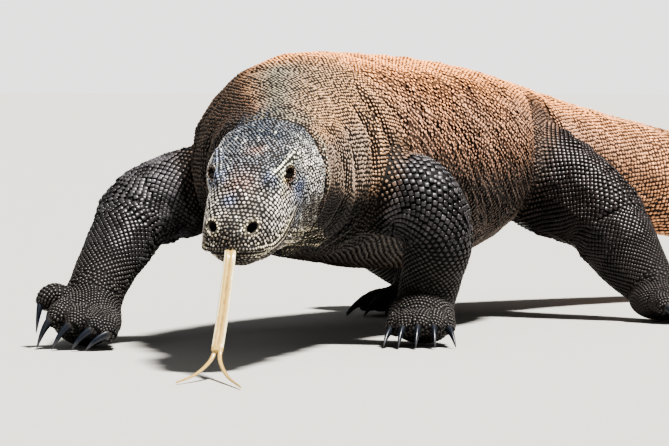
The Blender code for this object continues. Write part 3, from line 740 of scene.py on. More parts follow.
HIDE_COLOURS = {
    "back": (0.78, 0.345, 0.135),
    "flank": (0.48, 0.262, 0.160),
    "neck": (0.50, 0.30, 0.165),
    "neck_low": (0.33, 0.262, 0.215),
    "nape_top": (0.27, 0.235, 0.175),
    # Near black: painted shade on the neck's far side and underside.
    "painted_neck_shade": (0.042, 0.031, 0.024),
    # Dark brown: painted shade on the lower flanks and neck, in the flank folds and round the legs' roots;
    # also the dark flecks on body and head and the tail's bands.
    "shade": (0.055, 0.040, 0.033),
    "leg": (0.019, 0.017, 0.018),
    # Bluish grey: partly the upper legs' own greyer scales, partly a painted highlight of the lit upper
    # forelegs.
    "leg_top": (0.078, 0.073, 0.080),
    "foot": (0.036, 0.032, 0.030),
    # The belly and throat colours are near black: painted shade on the underside.
    "belly": (0.045, 0.030, 0.018),
    "throat": (0.016, 0.011, 0.008),
    "tail": (0.57, 0.285, 0.145),
    "tail_end": (0.11, 0.085, 0.070),
    "crown": (0.172, 0.182, 0.205),
    "snout": (0.235, 0.210, 0.185),
    # Dark brown: painted shade on the nose's front and far side and on the lower jaw.
    "front": (0.046, 0.036, 0.026),
    "cheek": (0.86, 0.83, 0.76),
    "jowl": (0.135, 0.126, 0.108),
    "pink": (0.48, 0.29, 0.235),
    "blue": (0.150, 0.215, 0.400),
    "brow": (0.88, 0.88, 0.74),
    "yellow": (0.74, 0.58, 0.13),
    "lid": (0.30, 0.165, 0.090),
    "lip": (0.58, 0.52, 0.38),
    "nape": (0.035, 0.055, 0.085),
    # Near black: painted shade under the chest, on the hind legs, in the lips' seam, nostrils and lid
    # openings, and in the throat's folds and the crease behind the cheek.
    "mouth": (0.016, 0.011, 0.010),
}


def paint_body(at, lay):
    """A rust back over dark flanks, a dun neck and a faintly banded tail, with painted shade on the lower
    flanks, the neck's lower and far sides, the throat, belly and chest, in the flank folds and round the
    legs' roots.
    """
    side, cloud = np.abs(at.angle), ripple(at.points, 0.16, 21)
    lay("flank", ramp(side, 0.50, 1.25) + 0.15 * cloud)
    # Painted shade: the lower flank and the lower side of the neck darkened.
    lay("shade", 0.95 * ramp(side, 1.22, 1.66) * ramp(at.place, 12.8, 13.8))
    lay("shade", 0.60 * ramp(at.angle, 1.15, 1.60) * ramp(-at.place, -13.6, -12.4))
    lay("shade", 0.26 * ramp(at.speck + at.fleck, 0.3, 1.6) * ramp(side, 0.3, 0.9))
    # Painted shade in the bottoms of the flank folds.
    flank, flank_depth, _ = flank_folds(at)
    lay("shade", 0.58 * flank * ramp(flank_depth, 0.32, 0.70))
    lay("neck", ramp(-at.place, -13.6, -12.4) * ramp(at.angle, -0.10, 0.45))
    lay("nape_top", ramp(-at.place, -13.0, -12.0) * bell(at.angle + 0.05, 0.45))
    lay("nape_top", 0.8 * ramp(-at.place, -10.4, -9.9) * ramp(-side, -0.9, -0.4))
    lay("neck_low", 0.75 * ramp(side, 0.85, 1.25) * ramp(-at.place, -12.4, -11.4) * (at.angle > 0))
    lay("shade", 0.55 * ramp(-at.place, -12.4, -11.4) * bell(at.angle + 0.05, 0.6)
        * ramp(at.fleck, 0.1, 1.2))
    # Painted shade: the neck's far side, with a mottled edge, and its underside near black.
    lay("painted_neck_shade", ramp(-at.place + 0.35 * at.fleck, -15.2, -12.6) * ramp(-at.angle, 0.15, 0.62) * 0.94)
    lay("painted_neck_shade", 0.9 * ramp(-at.place, -13.4, -12.2) * ramp(side, 1.5, 2.1))
    # Painted shade: the throat and belly underneath near black.
    lay("throat", ramp(-at.place, -13.6, -12.8) * ramp(at.place, 9.2, 9.8) * ramp(side, 1.70, 2.1))
    lay("belly", ramp(side, 2.1, 2.6) * ramp(at.place, 11.5, 12.5))
    lay("tail", ramp(at.place, 17.5, 20) * 0.85)
    lay("tail_end", ramp(at.place, 20, 28) * 0.8)
    lay("shade", 0.35 * ramp(at.place, 19, 21) * ramp(np.sin(at.place * 4.4 + cloud), 0.2, 0.9))
    # Painted shade round the legs' roots: strong at the hind legs, weaker and lower down at the forelegs.
    around = ramp(-at.share, -1.30, -0.96) * ramp(-at.leg_share, -1.55, -1.1)
    lay("shade", 0.9 * around * (at.place > 14.5))
    lay("shade", 0.65 * around * (at.place < 14.5) * ramp(side, 0.9, 1.2))
    # Painted shade: the chest's underside near black.
    lay("mouth", 0.55 * ramp(side, 2.05, 2.45) * ramp(at.place, 10.0, 11.0) * ramp(-at.place, -15.5, -14))


def paint_legs(at, lay):
    """Black legs, greyer above on the forelegs, partly as a painted highlight, dusty feet, and hind legs
    darkened as painted shade.
    """
    hind = (at.leg >= 2) | ((at.foot >= 2) & (at.foot_gap < 0.13))
    lay("leg", at.on_leg)
    # Partly a painted highlight: the upper forelegs paler, the hind ones much less.
    lay("leg_top", 0.9 * at.on_leg * (1 - 0.75 * hind) * ramp(-at.leg_place, -3.2, -1.2)
        * ramp(at.speck, -1.4, 0.8))
    lay("leg_top", 0.35 * at.on_leg * ramp(at.fleck, 0.2, 1.4))
    lay("foot", at.on_leg * ramp(-at.foot_gap, -0.085, -0.055))
    # Painted shade: the hind legs darkened, most at the thighs.
    lay("mouth", (0.50 + 0.36 * ramp(-at.leg_place, -3.0, -1.8)) * at.on_leg * hind)


def paint_head(at, lay):
    """A grey-blue crown and pale cheeks, the nose's front and far side darkened as painted shade, and dark,
    pink and blue patches on top.
    """
    h, both, on_head, fleck = at.head, at.both_sides, at.on_head, at.fleck
    lay("crown", on_head)
    lay("nape", 0.75 * bell(at.place - 9.6, 0.75) * ramp(-at.left, -0.020, 0.010) * ramp(fleck, -1.1, 0.3))
    lay("snout", on_head * ramp(h[:, 0], 0.095, 0.140))
    lay("cheek", 0.80 * on_head * spot(h, 0.020, (0.130, 0.036, -0.010), (1.6, 1, 1)))
    # Painted shade: the front of the nose and its far side darkened.
    lay("front", on_head * ramp(h[:, 0], 0.166, 0.188) * ramp(-both[:, 1], -0.024, -0.006) * 0.85)
    lay("jowl", on_head * ramp(-h[:, 2], 0.036, 0.060) * ramp(-h[:, 0], -0.125, -0.085))
    lay("cheek", on_head * spot(h, 0.013, (0.056, 0.0473, -0.0143), (1, 1, 1.5)))
    lay("cheek", 0.75 * on_head * spot(h, 0.026, (0.036, 0.053, -0.028)))
    lay("nape", 0.85 * on_head * spot(both, 0.020, (0.014, -0.010, 0.003), (0.7, 1.7, 1))
        * ramp(fleck, -1.2, 0.2))
    lay("shade", 0.65 * on_head * ramp(fleck, 0.10, 0.9) * ramp(-h[:, 0], -0.18, -0.12))
    lay("cheek", 0.45 * on_head * ramp(-fleck + 0.5 * at.speck, 0.6, 1.5) * ramp(h[:, 0], 0.0, 0.02))
    lay("nape", 0.90 * on_head * spot(both, 0.0110, (0.034, 0.010, 0.006), (0.8, 1.6, 1.4))
        * ramp(fleck, -1.0, 0.0))
    lay("nape", 0.80 * on_head * spot(both, 0.0100, (0.030, -0.030, 0.000), (1.0, 1.3, 1.4))
        * ramp(fleck, -1.0, 0.2))
    lay("nape", 0.45 * on_head * ramp(at.speck, 0.2, 1.2) * ramp(-h[:, 0], -0.11, -0.06)
        * ramp(h[:, 2], -0.02, 0.0))
    lay("pink", 0.75 * spot(both, 0.0085, (0.066, 0.003, 0.015), (1, 1, 2)))
    lay("pink", 0.50 * spot(both, 0.0120, (0.122, -0.001, 0.014), (1.6, 1.3, 2)))
    lay("blue", 0.70 * spot(both, 0.0080, (0.146, -0.0085, 0.0124), (1, 1, 2)))
    lay("nape", 0.50 * spot(h, 0.0055, (0.113, 0.0245, 0.0115), (1.8, 1, 2)) * ramp(fleck, -0.6, 0.8))
    lay("blue", 0.60 * spot(h, 0.0070, (0.110, 0.0252, 0.0110), (1.8, 1, 2)))
    lay("blue", 0.60 * spot(h, 0.0085, (0.080, 0.0440, -0.0205), (1.6, 1, 1)))


def paint_eyes(at, lay):
    """Brown lids, yellow flecks, and a pale brow that turns blue on the animal's right."""
    h, near_side = at.head, ramp(at.left, -0.005, 0.005)
    lay("lid", 0.55 * spot(h, 0.0070, (0.096, 0.0390, -0.0065), (1.2, 1, 1)))
    lay("lid", 0.65 * at.lids * ramp(-at.opening, -1.7, -1.4))
    lay("lip", 0.55 * spot(h, 0.0070, (0.112, 0.0370, -0.0040), (1.5, 1, 1)))
    lay("yellow", 0.85 * spot(h, 0.0046, (0.076, 0.0375, 0.0085), (1.8, 1, 1)) * near_side)
    lay("yellow", 0.75 * spot(h, 0.0045, (0.097, 0.0335, 0.0020), (1.2, 1, 1)) * near_side)
    ridge = brow_gap(h)
    under = bell(ridge - 0.0062, 0.0018) * ramp(-h[:, 0], -0.100, -0.092)
    lay("nape", 0.8 * under * (h[:, 1] < 0.034) * ramp(h[:, 2], -0.004, 0.002))
    lay("brow", 1.2 * bell(ridge, 0.0036) * ramp(h[:, 2], 0.000, 0.004) * near_side)
    lay("blue", 0.45 * bell(ridge, 0.0050) * (1 - near_side))
    lay("cheek", 0.50 * bell(ridge, 0.0050) * (1 - near_side) * ramp(at.speck + at.fleck, -0.2, 0.9))
    lay("yellow", 0.6 * spot(at.both_sides, 0.0036, (0.090, -0.0340, 0.0090), (0.8, 1.6, 1.0)))


def paint_mouth(at, lay):
    """Cream lips with a line of painted shade between them, the lower jaw's front darkened as painted
    shade, and painted shade in the pits of the nostrils and round the lids' opening.
    """
    h, lip, nostril = at.head, over_mouth(at.head), nostril_gap(at.head)
    shown = at.on_head * ramp(h[:, 0], 0.090, 0.122) * ramp(-h[:, 0], -0.196, -0.186)
    lay("lip", 0.80 * shown * bell(lip - 0.0045, 0.0055))
    lay("lip", 0.80 * shown * bell(lip + 0.0046, 0.0034) * ramp(h[:, 0], 0.105, 0.130))
    # Painted shade: the lower jaw's front darkened.
    lay("front", 0.9 * at.on_head * ramp(h[:, 0], 0.120, 0.150) * ramp(-lip, 0.0065, 0.011))
    # Painted shade in the seam between the lips.
    lay("mouth", 0.8 * at.on_head * ramp(h[:, 0], 0.080, 0.118) * bell(lip + 0.0008, 0.0018))
    lay("lip", 0.80 * ramp(-nostril, -2.2, -1.5))
    # Painted shade in the nostrils and round the lids' opening.
    lay("mouth", ramp(-nostril, -1.12, -0.90))
    lay("mouth", 0.9 * at.lids * ramp(-at.opening, -1.16, -1.04))


def paint_creases(at, lay):
    """Painted shade in the bottoms of the throat's folds and in the crease behind the cheek, and pale
    edges along them.
    """
    folded, depth = throat_folds(at)
    lay("lip", 0.90 * folded * bell(depth - 0.28, 0.22) * ramp(at.angle, 1.5, 1.9)
        * ramp(-at.place, -11.7, -10.6))
    # Painted shade in the fold bottoms and along the crease behind the cheek.
    lay("mouth", folded * ramp(depth, 0.50, 0.78))
    lay("mouth", 0.95 * bell(at.behind - 0.0010, 0.0038) * ramp(np.abs(at.angle), 0.30, 0.6)
        * (at.angle > 0))
    lay("mouth", 0.95 * bell(at.behind, 0.0040) * ramp(-at.angle, 0.30, 0.6))
    lay("lip", 0.80 * bell(at.behind - 0.0088, 0.0036) * ramp(at.angle, 0.70, 1.0)
        * ramp(-at.angle, -1.85, -1.5))


def paint(at):
    """The markings, with painted shade in folds, creases, pits and undersides and a partly painted
    highlight on the upper forelegs: one colour for each point of the hide, which the scales there carry
    too.
    """
    at.speck, at.fleck = ripple(at.points, 0.035, 22), ripple(at.points, 0.011, 23)
    at.both_sides = np.column_stack([at.head[:, 0], at.left, at.head[:, 2]])
    at.behind = behind_crease(at)
    at.on_head = ramp(-at.behind, -0.0010, 0.0010) * (at.place < 10.2)
    gap, out, at.opening, _ = eye_view(at.head)
    at.lids = at.on_head * (gap < 0.013) * (out > 0)
    made = np.tile(HIDE_COLOURS["back"], (len(at.points), 1))

    def lay(name, mask):
        made[:] += (np.array(HIDE_COLOURS[name]) - made) * np.clip(mask, 0, 1)[:, None]

    for marking in (paint_body, paint_legs, paint_head, paint_eyes, paint_mouth, paint_creases):
        marking(at, lay)
    return made


def node(tree, kind, inputs=(), **settings):
    """A node with its settings, and its inputs set to values or joined to other nodes' outputs."""
    made = tree.nodes.new(kind)
    for key, value in settings.items():
        setattr(made, key, value)
    for key, value in dict(inputs).items():
        if isinstance(value, bpy.types.NodeSocket):
            tree.links.new(value, made.inputs[key])
        else:
            made.inputs[key].default_value = value
    return made


def new_group(name, kind, sockets):
    """A node group with its sockets, each a label, a direction, a kind and a default."""
    tree = bpy.data.node_groups.new(name, kind)
    for label, direction, socket, default in sockets:
        made = tree.interface.new_socket(label, in_out=direction, socket_type=socket)
        if default is not None:
            made.default_value = default
    return tree, tree.nodes.new("NodeGroupInput"), tree.nodes.new("NodeGroupOutput")


def new_material(name):
    made = bpy.data.materials.new(name)
    made.use_nodes = True
    return made, made.node_tree, made.node_tree.nodes["Principled BSDF"]


def hide_colour_painted_shade_and_highlight():
    """The shared colour: the painted colour, darkened in the gaps and on each scale's rim, partly the
    hide's own dark colour and partly painted shade, and brightened on each top as a painted highlight,
    with dust, pores and wear.
    """
    tree, given, gives = new_group("scaly_hide_painted_shade_and_highlight", "ShaderNodeTree", [
        ("Paint", "INPUT", "NodeSocketColor", (0.5, 0.4, 0.3, 1)),
        ("Rise", "INPUT", "NodeSocketFloat", 0.0),
        ("Tone", "INPUT", "NodeSocketFloat", 1.0),
        ("Gap Darkness", "INPUT", "NodeSocketFloat", 0.88),
        ("Gloss", "INPUT", "NodeSocketFloat", 0.5),
        ("Colour", "OUTPUT", "NodeSocketColor", None),
        ("Roughness", "OUTPUT", "NodeSocketFloat", None),
        ("Height", "OUTPUT", "NodeSocketFloat", None),
    ])
    place = node(tree, "ShaderNodeTexCoord").outputs["Object"]
    mottle = node(tree, "ShaderNodeTexNoise", {"Vector": place, "Scale": 55.0, "Detail": 3.0})
    pores = node(tree, "ShaderNodeTexNoise", {
        "Vector": place, "Scale": 1300.0, "Detail": 3.0, "Roughness": 0.6,
    })
    lift = node(tree, "ShaderNodeMapRange", {
        "Value": given.outputs["Rise"], "From Min": 0.20, "From Max": 0.88, "To Min": 0.0, "To Max": 1.0,
    }, interpolation_type="SMOOTHSTEP")
    dark = node(tree, "ShaderNodeMath", {0: 1.0, 1: given.outputs["Gap Darkness"]}, operation="SUBTRACT")
    # Painted shade and highlight: rims and gaps dark where the rise is low, tops 1.66 times as bright as the
    # paint.
    shade = node(tree, "ShaderNodeMix", {
        "Factor": lift.outputs[0], "A": dark.outputs[0], "B": 1.66,
    }, data_type="FLOAT")
    dust = node(tree, "ShaderNodeMapRange", {
        "Value": mottle.outputs[0], "From Min": 0.3, "From Max": 0.7, "To Min": 0.84, "To Max": 1.14,
    })
    worn = node(tree, "ShaderNodeMapRange", {
        "Value": pores.outputs[0], "From Min": 0.3, "From Max": 0.7, "To Min": 0.86, "To Max": 1.14,
    })
    product = shade.outputs[0]
    for factor in (given.outputs["Tone"], dust.outputs[0], worn.outputs[0]):
        product = node(tree, "ShaderNodeMath", {0: product, 1: factor}, operation="MULTIPLY").outputs[0]
    colour = node(tree, "ShaderNodeVectorMath", {
        0: given.outputs["Paint"], "Scale": product,
    }, operation="SCALE")
    rough = node(tree, "ShaderNodeMath", {
        0: worn.outputs[0], 1: given.outputs["Gloss"],
    }, operation="MULTIPLY")
    tree.links.new(colour.outputs[0], gives.inputs["Colour"])
    tree.links.new(rough.outputs[0], gives.inputs["Roughness"])
    tree.links.new(pores.outputs[0], gives.inputs["Height"])
    return tree


HIDE_COLOUR_SHADE_AND_HIGHLIGHT = hide_colour_painted_shade_and_highlight()


def hide_material(name, gap, gloss, bump, reads=("tone", "rise")):
    """Painted hide or scales. reads names the attributes that shade it: tone, and rise over the gaps,
    which sets the painted shade on the rims and the painted highlight on the tops.
    """
    made, tree, shader = new_material(name)
    paint_read = node(tree, "ShaderNodeAttribute", attribute_name="paint")
    inputs = {"Paint": paint_read.outputs["Color"], "Gap Darkness": gap, "Gloss": gloss}
    for label in reads:
        inputs[label.title()] = node(tree, "ShaderNodeAttribute", attribute_name=label).outputs["Fac"]
    group = node(tree, "ShaderNodeGroup", inputs, node_tree=HIDE_COLOUR_SHADE_AND_HIGHLIGHT)
    relief = node(tree, "ShaderNodeBump", {
        "Strength": 0.5, "Distance": bump, "Height": group.outputs["Height"],
    })
    tree.links.new(group.outputs["Colour"], shader.inputs["Base Color"])
    tree.links.new(group.outputs["Roughness"], shader.inputs["Roughness"])
    tree.links.new(relief.outputs["Normal"], shader.inputs["Normal"])
    return made


def store(mesh, name, kind, values, field="value"):
    """An attribute with a value for each point of a mesh."""
    attribute = mesh.attributes.new(name, kind, "POINT")
    attribute.data.foreach_set(field, np.asarray(values, np.float32).ravel())


def store_paint(mesh, colours):
    opaque = np.column_stack([colours, np.ones(len(colours))])
    store(mesh, "paint", "FLOAT_COLOR", opaque, "color")


hide = cast_hide()
sculpt(hide)
thin_out(hide, HIDE_TRIANGLES)
hide_points = points_of(hide.data)
store_paint(hide.data, paint(survey(hide_points)))
eye_low, eye_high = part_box("eye_left")
SHIFT = np.array((eye_low + eye_high) / 2) - (OCCIPUT + EYE_PLACE @ head_axes)
hide.data.transform(Matrix.Translation(SHIFT))
hide.data.shade_smooth()
hide_at = survey(hide_points)
back = ramp(hide_at.place, 12.2, 13.6) * (1 - hide_at.on_leg) * ramp(-np.abs(hide_at.angle), -2.0, -1.4)
nostril_rim = bell(nostril_gap(hide_at.head) - 1.35, 0.35) * (hide_at.place < STATION["brows"])
store(hide.data, "tone", "FLOAT", 1 + 2.2 * back + 3.2 * nostril_rim)  # lighter leather shows there
# Painted shade: the hide is darkened to about a twentieth of its paint, partly its own dark colour and partly
# shade between the scales.
hide.data.materials.append(hide_material("hide_leather", 0.955, 0.75, 0.0006, ("tone",)))
FLESH = [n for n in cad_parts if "eye" not in n and "claw" not in n and n != "tongue"]
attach(hide, "root")
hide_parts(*FLESH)

# ---- Scales -----------------------------------------------------------------------------------------
# Tens of thousands of hard, separate scales, each a low bead of horn over a grain of bone. They lie in
# staggered rows round the body, tail and legs, small and irregular on the head and feet. Each is set
# into the hide, with painted shade darkening its rim and a painted highlight brightening its top.

PIECE_SCALES = 8500  # keeps each piece of scales under 200,000 faces
PATCH = 0.003  # the width of one scale on the unwrapped hide
STRIP = 0.077  # the width of each palm's and toe's strip there
SCATTERED = 520_000  # random places tried where the rows leave hide bare
HEAD_CLEAR, BODY_CLEAR = 0.78, 0.92  # how clear of the rows a small scale stands, in widths
ROW_CLEAR, FILL_CLEAR = 0.60, 0.80  # how clear the rows' scales stand of each other, and the small ones
NEIGHBOURS, SETTLING = 6, 4  # how many neighbours push a small scale, and how many times
CROWDING, PUSH = 0.53, 0.35  # how near they may stand, in both widths, and how hard they push
# Widths of the scales along the body.
BODY_SCALES = {
    "rear": 0.0033, "nape": 0.0040, "mid_neck": 0.0044, "shoulders": 0.0042, "belly": 0.0041, "hips": 0.0043,
    "tail_root": 0.0048, "tail_3": 0.0054, "tail_6": 0.0050, "tail_9": 0.0040, "tail_tip": 0.0030,
}
LEG_SCALES = (0.0073, 0.0066)  # widths of the diamond scales on the forelegs and hind legs
FOOT_SCALE = 0.0038
LID_SCALES = 0.0102  # how far the scales on the lids lie from the eyeball's middle
FOOT_REACH = 0.105  # from the palm's middle to where the foot's small scales give way to the leg's
SMALLEST_SCALE = 0.0027  # in the folds of the throat and by the crease
HEAD_END = STATION["rear"] + 0.15  # where the head's scales give way to the neck's
NARROWEST, WIDEST = 0.62, 1.12  # how far a scale's width gives way to the room it has
SCALE_HEIGHT = 0.27  # of its width
LOWEST_SCALE = 0.0002  # above the floor
BEAD_FOOT = -0.25  # how deep a scale's foot lies in the hide, of its height
HEAD_UNEVEN, BODY_UNEVEN = 0.00040, 0.00052  # how far the rows' scales stray from them


def towards(size, goal, share):
    """A size brought nearer to a goal by a share of the way."""
    return size + (goal - size) * share


def leg_width(leg, place):
    """How wide a leg's scales are at places along it, narrowing to the wrist or ankle."""
    front, hind = LEG_SCALES
    return np.where(leg >= 2, hind, front) * (1 - 0.18 * ramp(place, 2.5, 4.5))


def scale_width(at):
    """How wide a scale is at each point of the hide."""
    h = at.head
    size = body_width(at.place, np.abs(at.angle))
    size = towards(size, leg_width(at.leg, at.leg_place) * 0.72, at.on_leg)
    foot = FOOT_SCALE + 0.0008 * ramp(at.foot_gap, 0.050, 0.080)
    size = np.where(at.foot_gap < FOOT_REACH, np.minimum(size, foot), size)
    head = 0.0038 + 0.0004 * ramp(h[:, 0], 0.10, 0.16)
    head = towards(head, 0.0034, ramp(h[:, 0], 0.166, 0.182))
    head = towards(head, 0.0029, ramp(h[:, 1], 0.026, 0.040) * ramp(-h[:, 0], -0.100, -0.075))
    head = towards(head, 0.0036, ramp(-h[:, 2], 0.060, 0.085))
    head = head - 0.0011 * spot(h, 0.014, EYE_PLACE)
    head = head - 0.0014 * spot(h, 0.0080, NOSTRIL)
    head = head + (0.0047 - head) * bell(brow_gap(h), 0.0034) * (h[:, 2] > 0)
    size = towards(size, head, ramp(-at.place, -9.9, -8.8))
    size = size + (SMALLEST_SCALE - size) * 0.9 * throat_folds(at)[0]
    by_crease = bell(behind_crease(at) - 0.0030, 0.0030)
    return size + (SMALLEST_SCALE - size) * 0.9 * by_crease * (np.abs(at.angle) > 0.35)


def body_width(place, angle):
    stations = [STATION[name] for name in BODY_SCALES]
    size = np.interp(place, stations, list(BODY_SCALES.values()))
    return size * (1 + 0.45 * ramp(angle, 2.0, 2.5) * ramp(place, 11, 12))


def bare(at):
    """Where no scale grows: between the lids, in the nostrils, the mouth's line and the ears."""
    h = at.head
    _, out, opening, _ = eye_view(h)
    near_eye = np.linalg.norm(h - EYE_PLACE, axis=1) < 0.0125
    eye = near_eye & (out > 0) & (opening < 1.06)
    nostril = nostril_gap(h) < 1.26
    lip = np.abs(h[:, 2] + 0.0007 - mouth_height(h[:, 0])) < 0.0015
    ear = np.linalg.norm((h - EAR) / EAR_SHAPE, axis=1) < 0.0036
    crease = (np.abs(behind_crease(at) - 0.0006) < 0.0025) & (np.abs(at.angle) > 0.35)
    return (at.place < STATION["nape"]) & (eye | nostril | ear | (lip & (h[:, 0] > 0.112))) | crease


def rows_round(tube, first, last, width, pitch):
    """Staggered rows of places round a tube, between two places along it. width reads place and
    angle, and pitch is the share of it from row to row."""
    fine, flank = np.linspace(0, math.pi, 61), 24  # the rows' pitch is taken on the flank
    reach, end = np.interp((first, last), tube.place, tube.reach)
    reaches, angles, row = [], [], 0
    while reach < end:
        place = np.interp(reach, tube.reach, tube.place)
        widths = width(np.full(len(fine), place), fine)
        ring = outline(tube, np.full(len(fine), reach), fine)
        steps = np.linalg.norm(np.diff(ring, axis=0), axis=1) / ((widths[1:] + widths[:-1]) / 2)
        count = np.r_[0, np.cumsum(steps)]
        stops = np.arange(row % 2 * 0.5, count[-1] - 0.35, 1.0)
        turn = np.interp(stops, count, fine)
        both = np.r_[turn, -turn[turn > 0]]
        angles.append(both)
        reaches.append(np.full(len(both), reach))
        reach += widths[flank] * pitch
        row += 1
    return outline(tube, np.concatenate(reaches), np.concatenate(angles))


def tree_of(points):
    tree = KDTree(len(points))
    for i, point in enumerate(points.tolist()):
        tree.insert(point, i)
    tree.balance()
    return tree


def spaced(points, gaps):
    """Which points to keep, in their order, so that each stands clear of those before it."""
    tree, free, kept = tree_of(points), np.ones(len(points), bool), []
    for i, point in enumerate(points.tolist()):
        if free[i]:
            kept.append(i)
            for _, j, _ in tree.find_range(point, gaps[i]):
                free[j] = False
    return np.array(kept, int)


hide_faces = np.array([tuple(f.vertices) for f in hide.data.polygons])
hide_normals = unit(normals_of(hide.data))
hide_tree = BVHTree.FromPolygons(hide_points.tolist(), hide_faces.tolist())


def on_hide(points, within=0.014):
    """The nearest point of the hide to each point, the direction out of it, and which are near."""
    nearest, outs, near = points.copy(), np.tile(UP, (len(points), 1)), np.zeros(len(points), bool)
    for i, point in enumerate(points.tolist()):
        found, _, face, _ = hide_tree.find_nearest(point, within)
        if found is not None:
            nearest[i], outs[i], near[i] = found, hide_normals[hide_faces[face]].sum(0), True
    return nearest, unit(outs), near


def scattered(count, seed):
    """Random points all over the hide, as many to each square metre."""
    corners = hide_points[hide_faces]
    sides = np.cross(corners[:, 1] - corners[:, 0], corners[:, 2] - corners[:, 0])
    area = np.linalg.norm(sides, axis=1)
    dice = np.random.default_rng(seed)
    face = dice.choice(len(area), count, p=area / area.sum())
    a, b = dice.random((2, count))
    flip = a + b > 1
    a, b = np.where(flip, 1 - a, a)[:, None], np.where(flip, 1 - b, b)[:, None]
    c = corners[face]
    return c[:, 0] + a * (c[:, 1] - c[:, 0]) + b * (c[:, 2] - c[:, 0])


def push_apart(fixed, fixed_widths, points, widths, rounds):
    """Lets points on the hide settle at even distances among those that are fixed, as scales grow."""
    sizes = np.r_[fixed_widths, widths]
    for _ in range(rounds):
        every = np.concatenate([fixed, points])
        tree = tree_of(every)
        near = np.array([[j for _, j, _ in tree.find_n(p, NEIGHBOURS + 1)[1:]] for p in points.tolist()])
        offset = points[:, None] - every[near]
        gap = np.linalg.norm(offset, axis=2)
        want = (widths[:, None] + sizes[near]) * CROWDING
        force = np.maximum(want - gap, 0) * PUSH
        points = points + (offset / np.maximum(gap, 1e-6)[..., None] * force[..., None]).sum(1)
        points = on_hide(points)[0]
    return points


def lie_of(at):
    """The way scales point: back along the body, down the legs and out along the toes."""
    def along(tube, points):
        places = np.interp(on_tube(tube, points)[0], tube.place, tube.reach)
        return read(tube, tube.along, places)

    lie = along(body, at.points)
    for k, leg in enumerate(LEGS):
        mine = (at.on_leg > 0.5) & (at.leg == k)
        lie[mine] = along(limbs[leg], at.points[mine])
        foot = (at.foot == k) & (at.foot_gap < 0.075)
        root = palm_middles[leg] - heading(FEET[leg][0]) * 0.06
        lie[foot] = unit(at.points[foot] - root)
    return unit(lie)


def evenly_spread(line, step):
    """Points a step apart along a line of many points."""
    reach = reach_along(line)
    stops = np.arange(step / 2, reach[-1], step)
    return np.stack([np.interp(stops, reach, axis) for axis in line.T], -1)


def head_rows():
    """Rows of small scales round the head, from behind the nostrils to the nape, a little uneven."""
    def head_width(place, angle):
        reach = np.interp(place, body.place, body.reach)
        return scale_width(survey(outline(body, reach, angle)))

    rows = rows_round(body, 2.4, STATION["rear"] + 0.1, head_width, pitch=1.22)
    return rows + np.random.default_rng(12).normal(size=rows.shape) * HEAD_UNEVEN


def lip_row(above, step):
    """A row of shields along the mouth, so far above its line, from corner to corner."""
    line = []
    for turn in np.linspace(-2.25, 2.25, 240):
        direction = np.array((math.cos(turn), math.sin(turn), 0.0))
        height = -0.02
        for _ in range(4):
            start = OCCIPUT + np.array((0.120, 0.0, height)) @ head_axes
            hit = hide_tree.ray_cast(start.tolist(), (direction @ head_axes).tolist())[0]
            if hit is None:
                break
            height = mouth_height((np.array(hit) - OCCIPUT) @ head_axes[0]) + above
        if hit is not None:
            line.append(np.array(hit))
    return evenly_spread(np.array(line), step)


def lid_rows():
    """Rings of the smallest scales round each eye."""
    axis, level, upright = eye_axes()
    rows = []
    for k, share in enumerate((1.14, 1.36, 1.56)):
        turn = np.linspace(0, math.tau, 24 + 4 * k, endpoint=False) + 0.13 * (k % 2)
        long, tall = np.cos(turn) * EYE_OPENING[0] * share, np.sin(turn) * EYE_OPENING[1] * share
        out = np.sqrt(np.maximum(1 - long**2 - tall**2, 0.02))
        direction = axis * out[:, None] + level * long[:, None] + upright * tall[:, None]
        ring = EYE_PLACE + LID_SCALES * direction
        rows += [ring, ring * (1, -1, 1)]
    return OCCIPUT + np.concatenate(rows) @ head_axes


def brow_rows():
    """The row of long shields along each brow."""
    row = evenly_spread(smooth_rows(BROW, np.linspace(0, len(BROW) - 1, 60)), 0.0042)
    return OCCIPUT + np.concatenate([row, row * (1, -1, 1)]) @ head_axes


def ordered_scales():
    """Scales in rows: lips, lids and brows, round the body, down each leg, across feet and toes."""
    lips = [lip_row(above, step) for above, step in ((0.0026, 0.0036), (-0.0032, 0.0036), (0.0060, 0.0034))]
    laid = [lid_rows(), brow_rows(), *lips, head_rows()]
    rows = rows_round(body, HEAD_END, STATION["tail_tip"], body_width, pitch=1.36)
    rows = rows + np.random.default_rng(13).normal(size=rows.shape) * BODY_UNEVEN
    at = survey(rows)
    laid.append(rows[(at.leg_share > 0.96) | (at.place < STATION["neck_base"])])
    for k, leg in enumerate(LEGS):
        rows = rows_round(limbs[leg], 0.6, 5.0, lambda place, _: leg_width(k, place), pitch=0.50)
        laid.append(rows[on_tube(body, rows)[2] > 1.02])
        palm = feet[leg][1]
        for tube in feet[leg][2:]:
            rows = rows_round(tube, 0.5, 3.0, lambda place, _: FOOT_SCALE + 0 * place, pitch=0.80)
            laid.append(rows[on_tube(palm, rows)[2] > 0.98])
        rows = rows_round(palm, -0.95, 0.95, lambda place, _: FOOT_SCALE + 0 * place, pitch=0.80)
        laid.append(rows[rows[:, 2] > 0.004])
    return np.concatenate(laid)


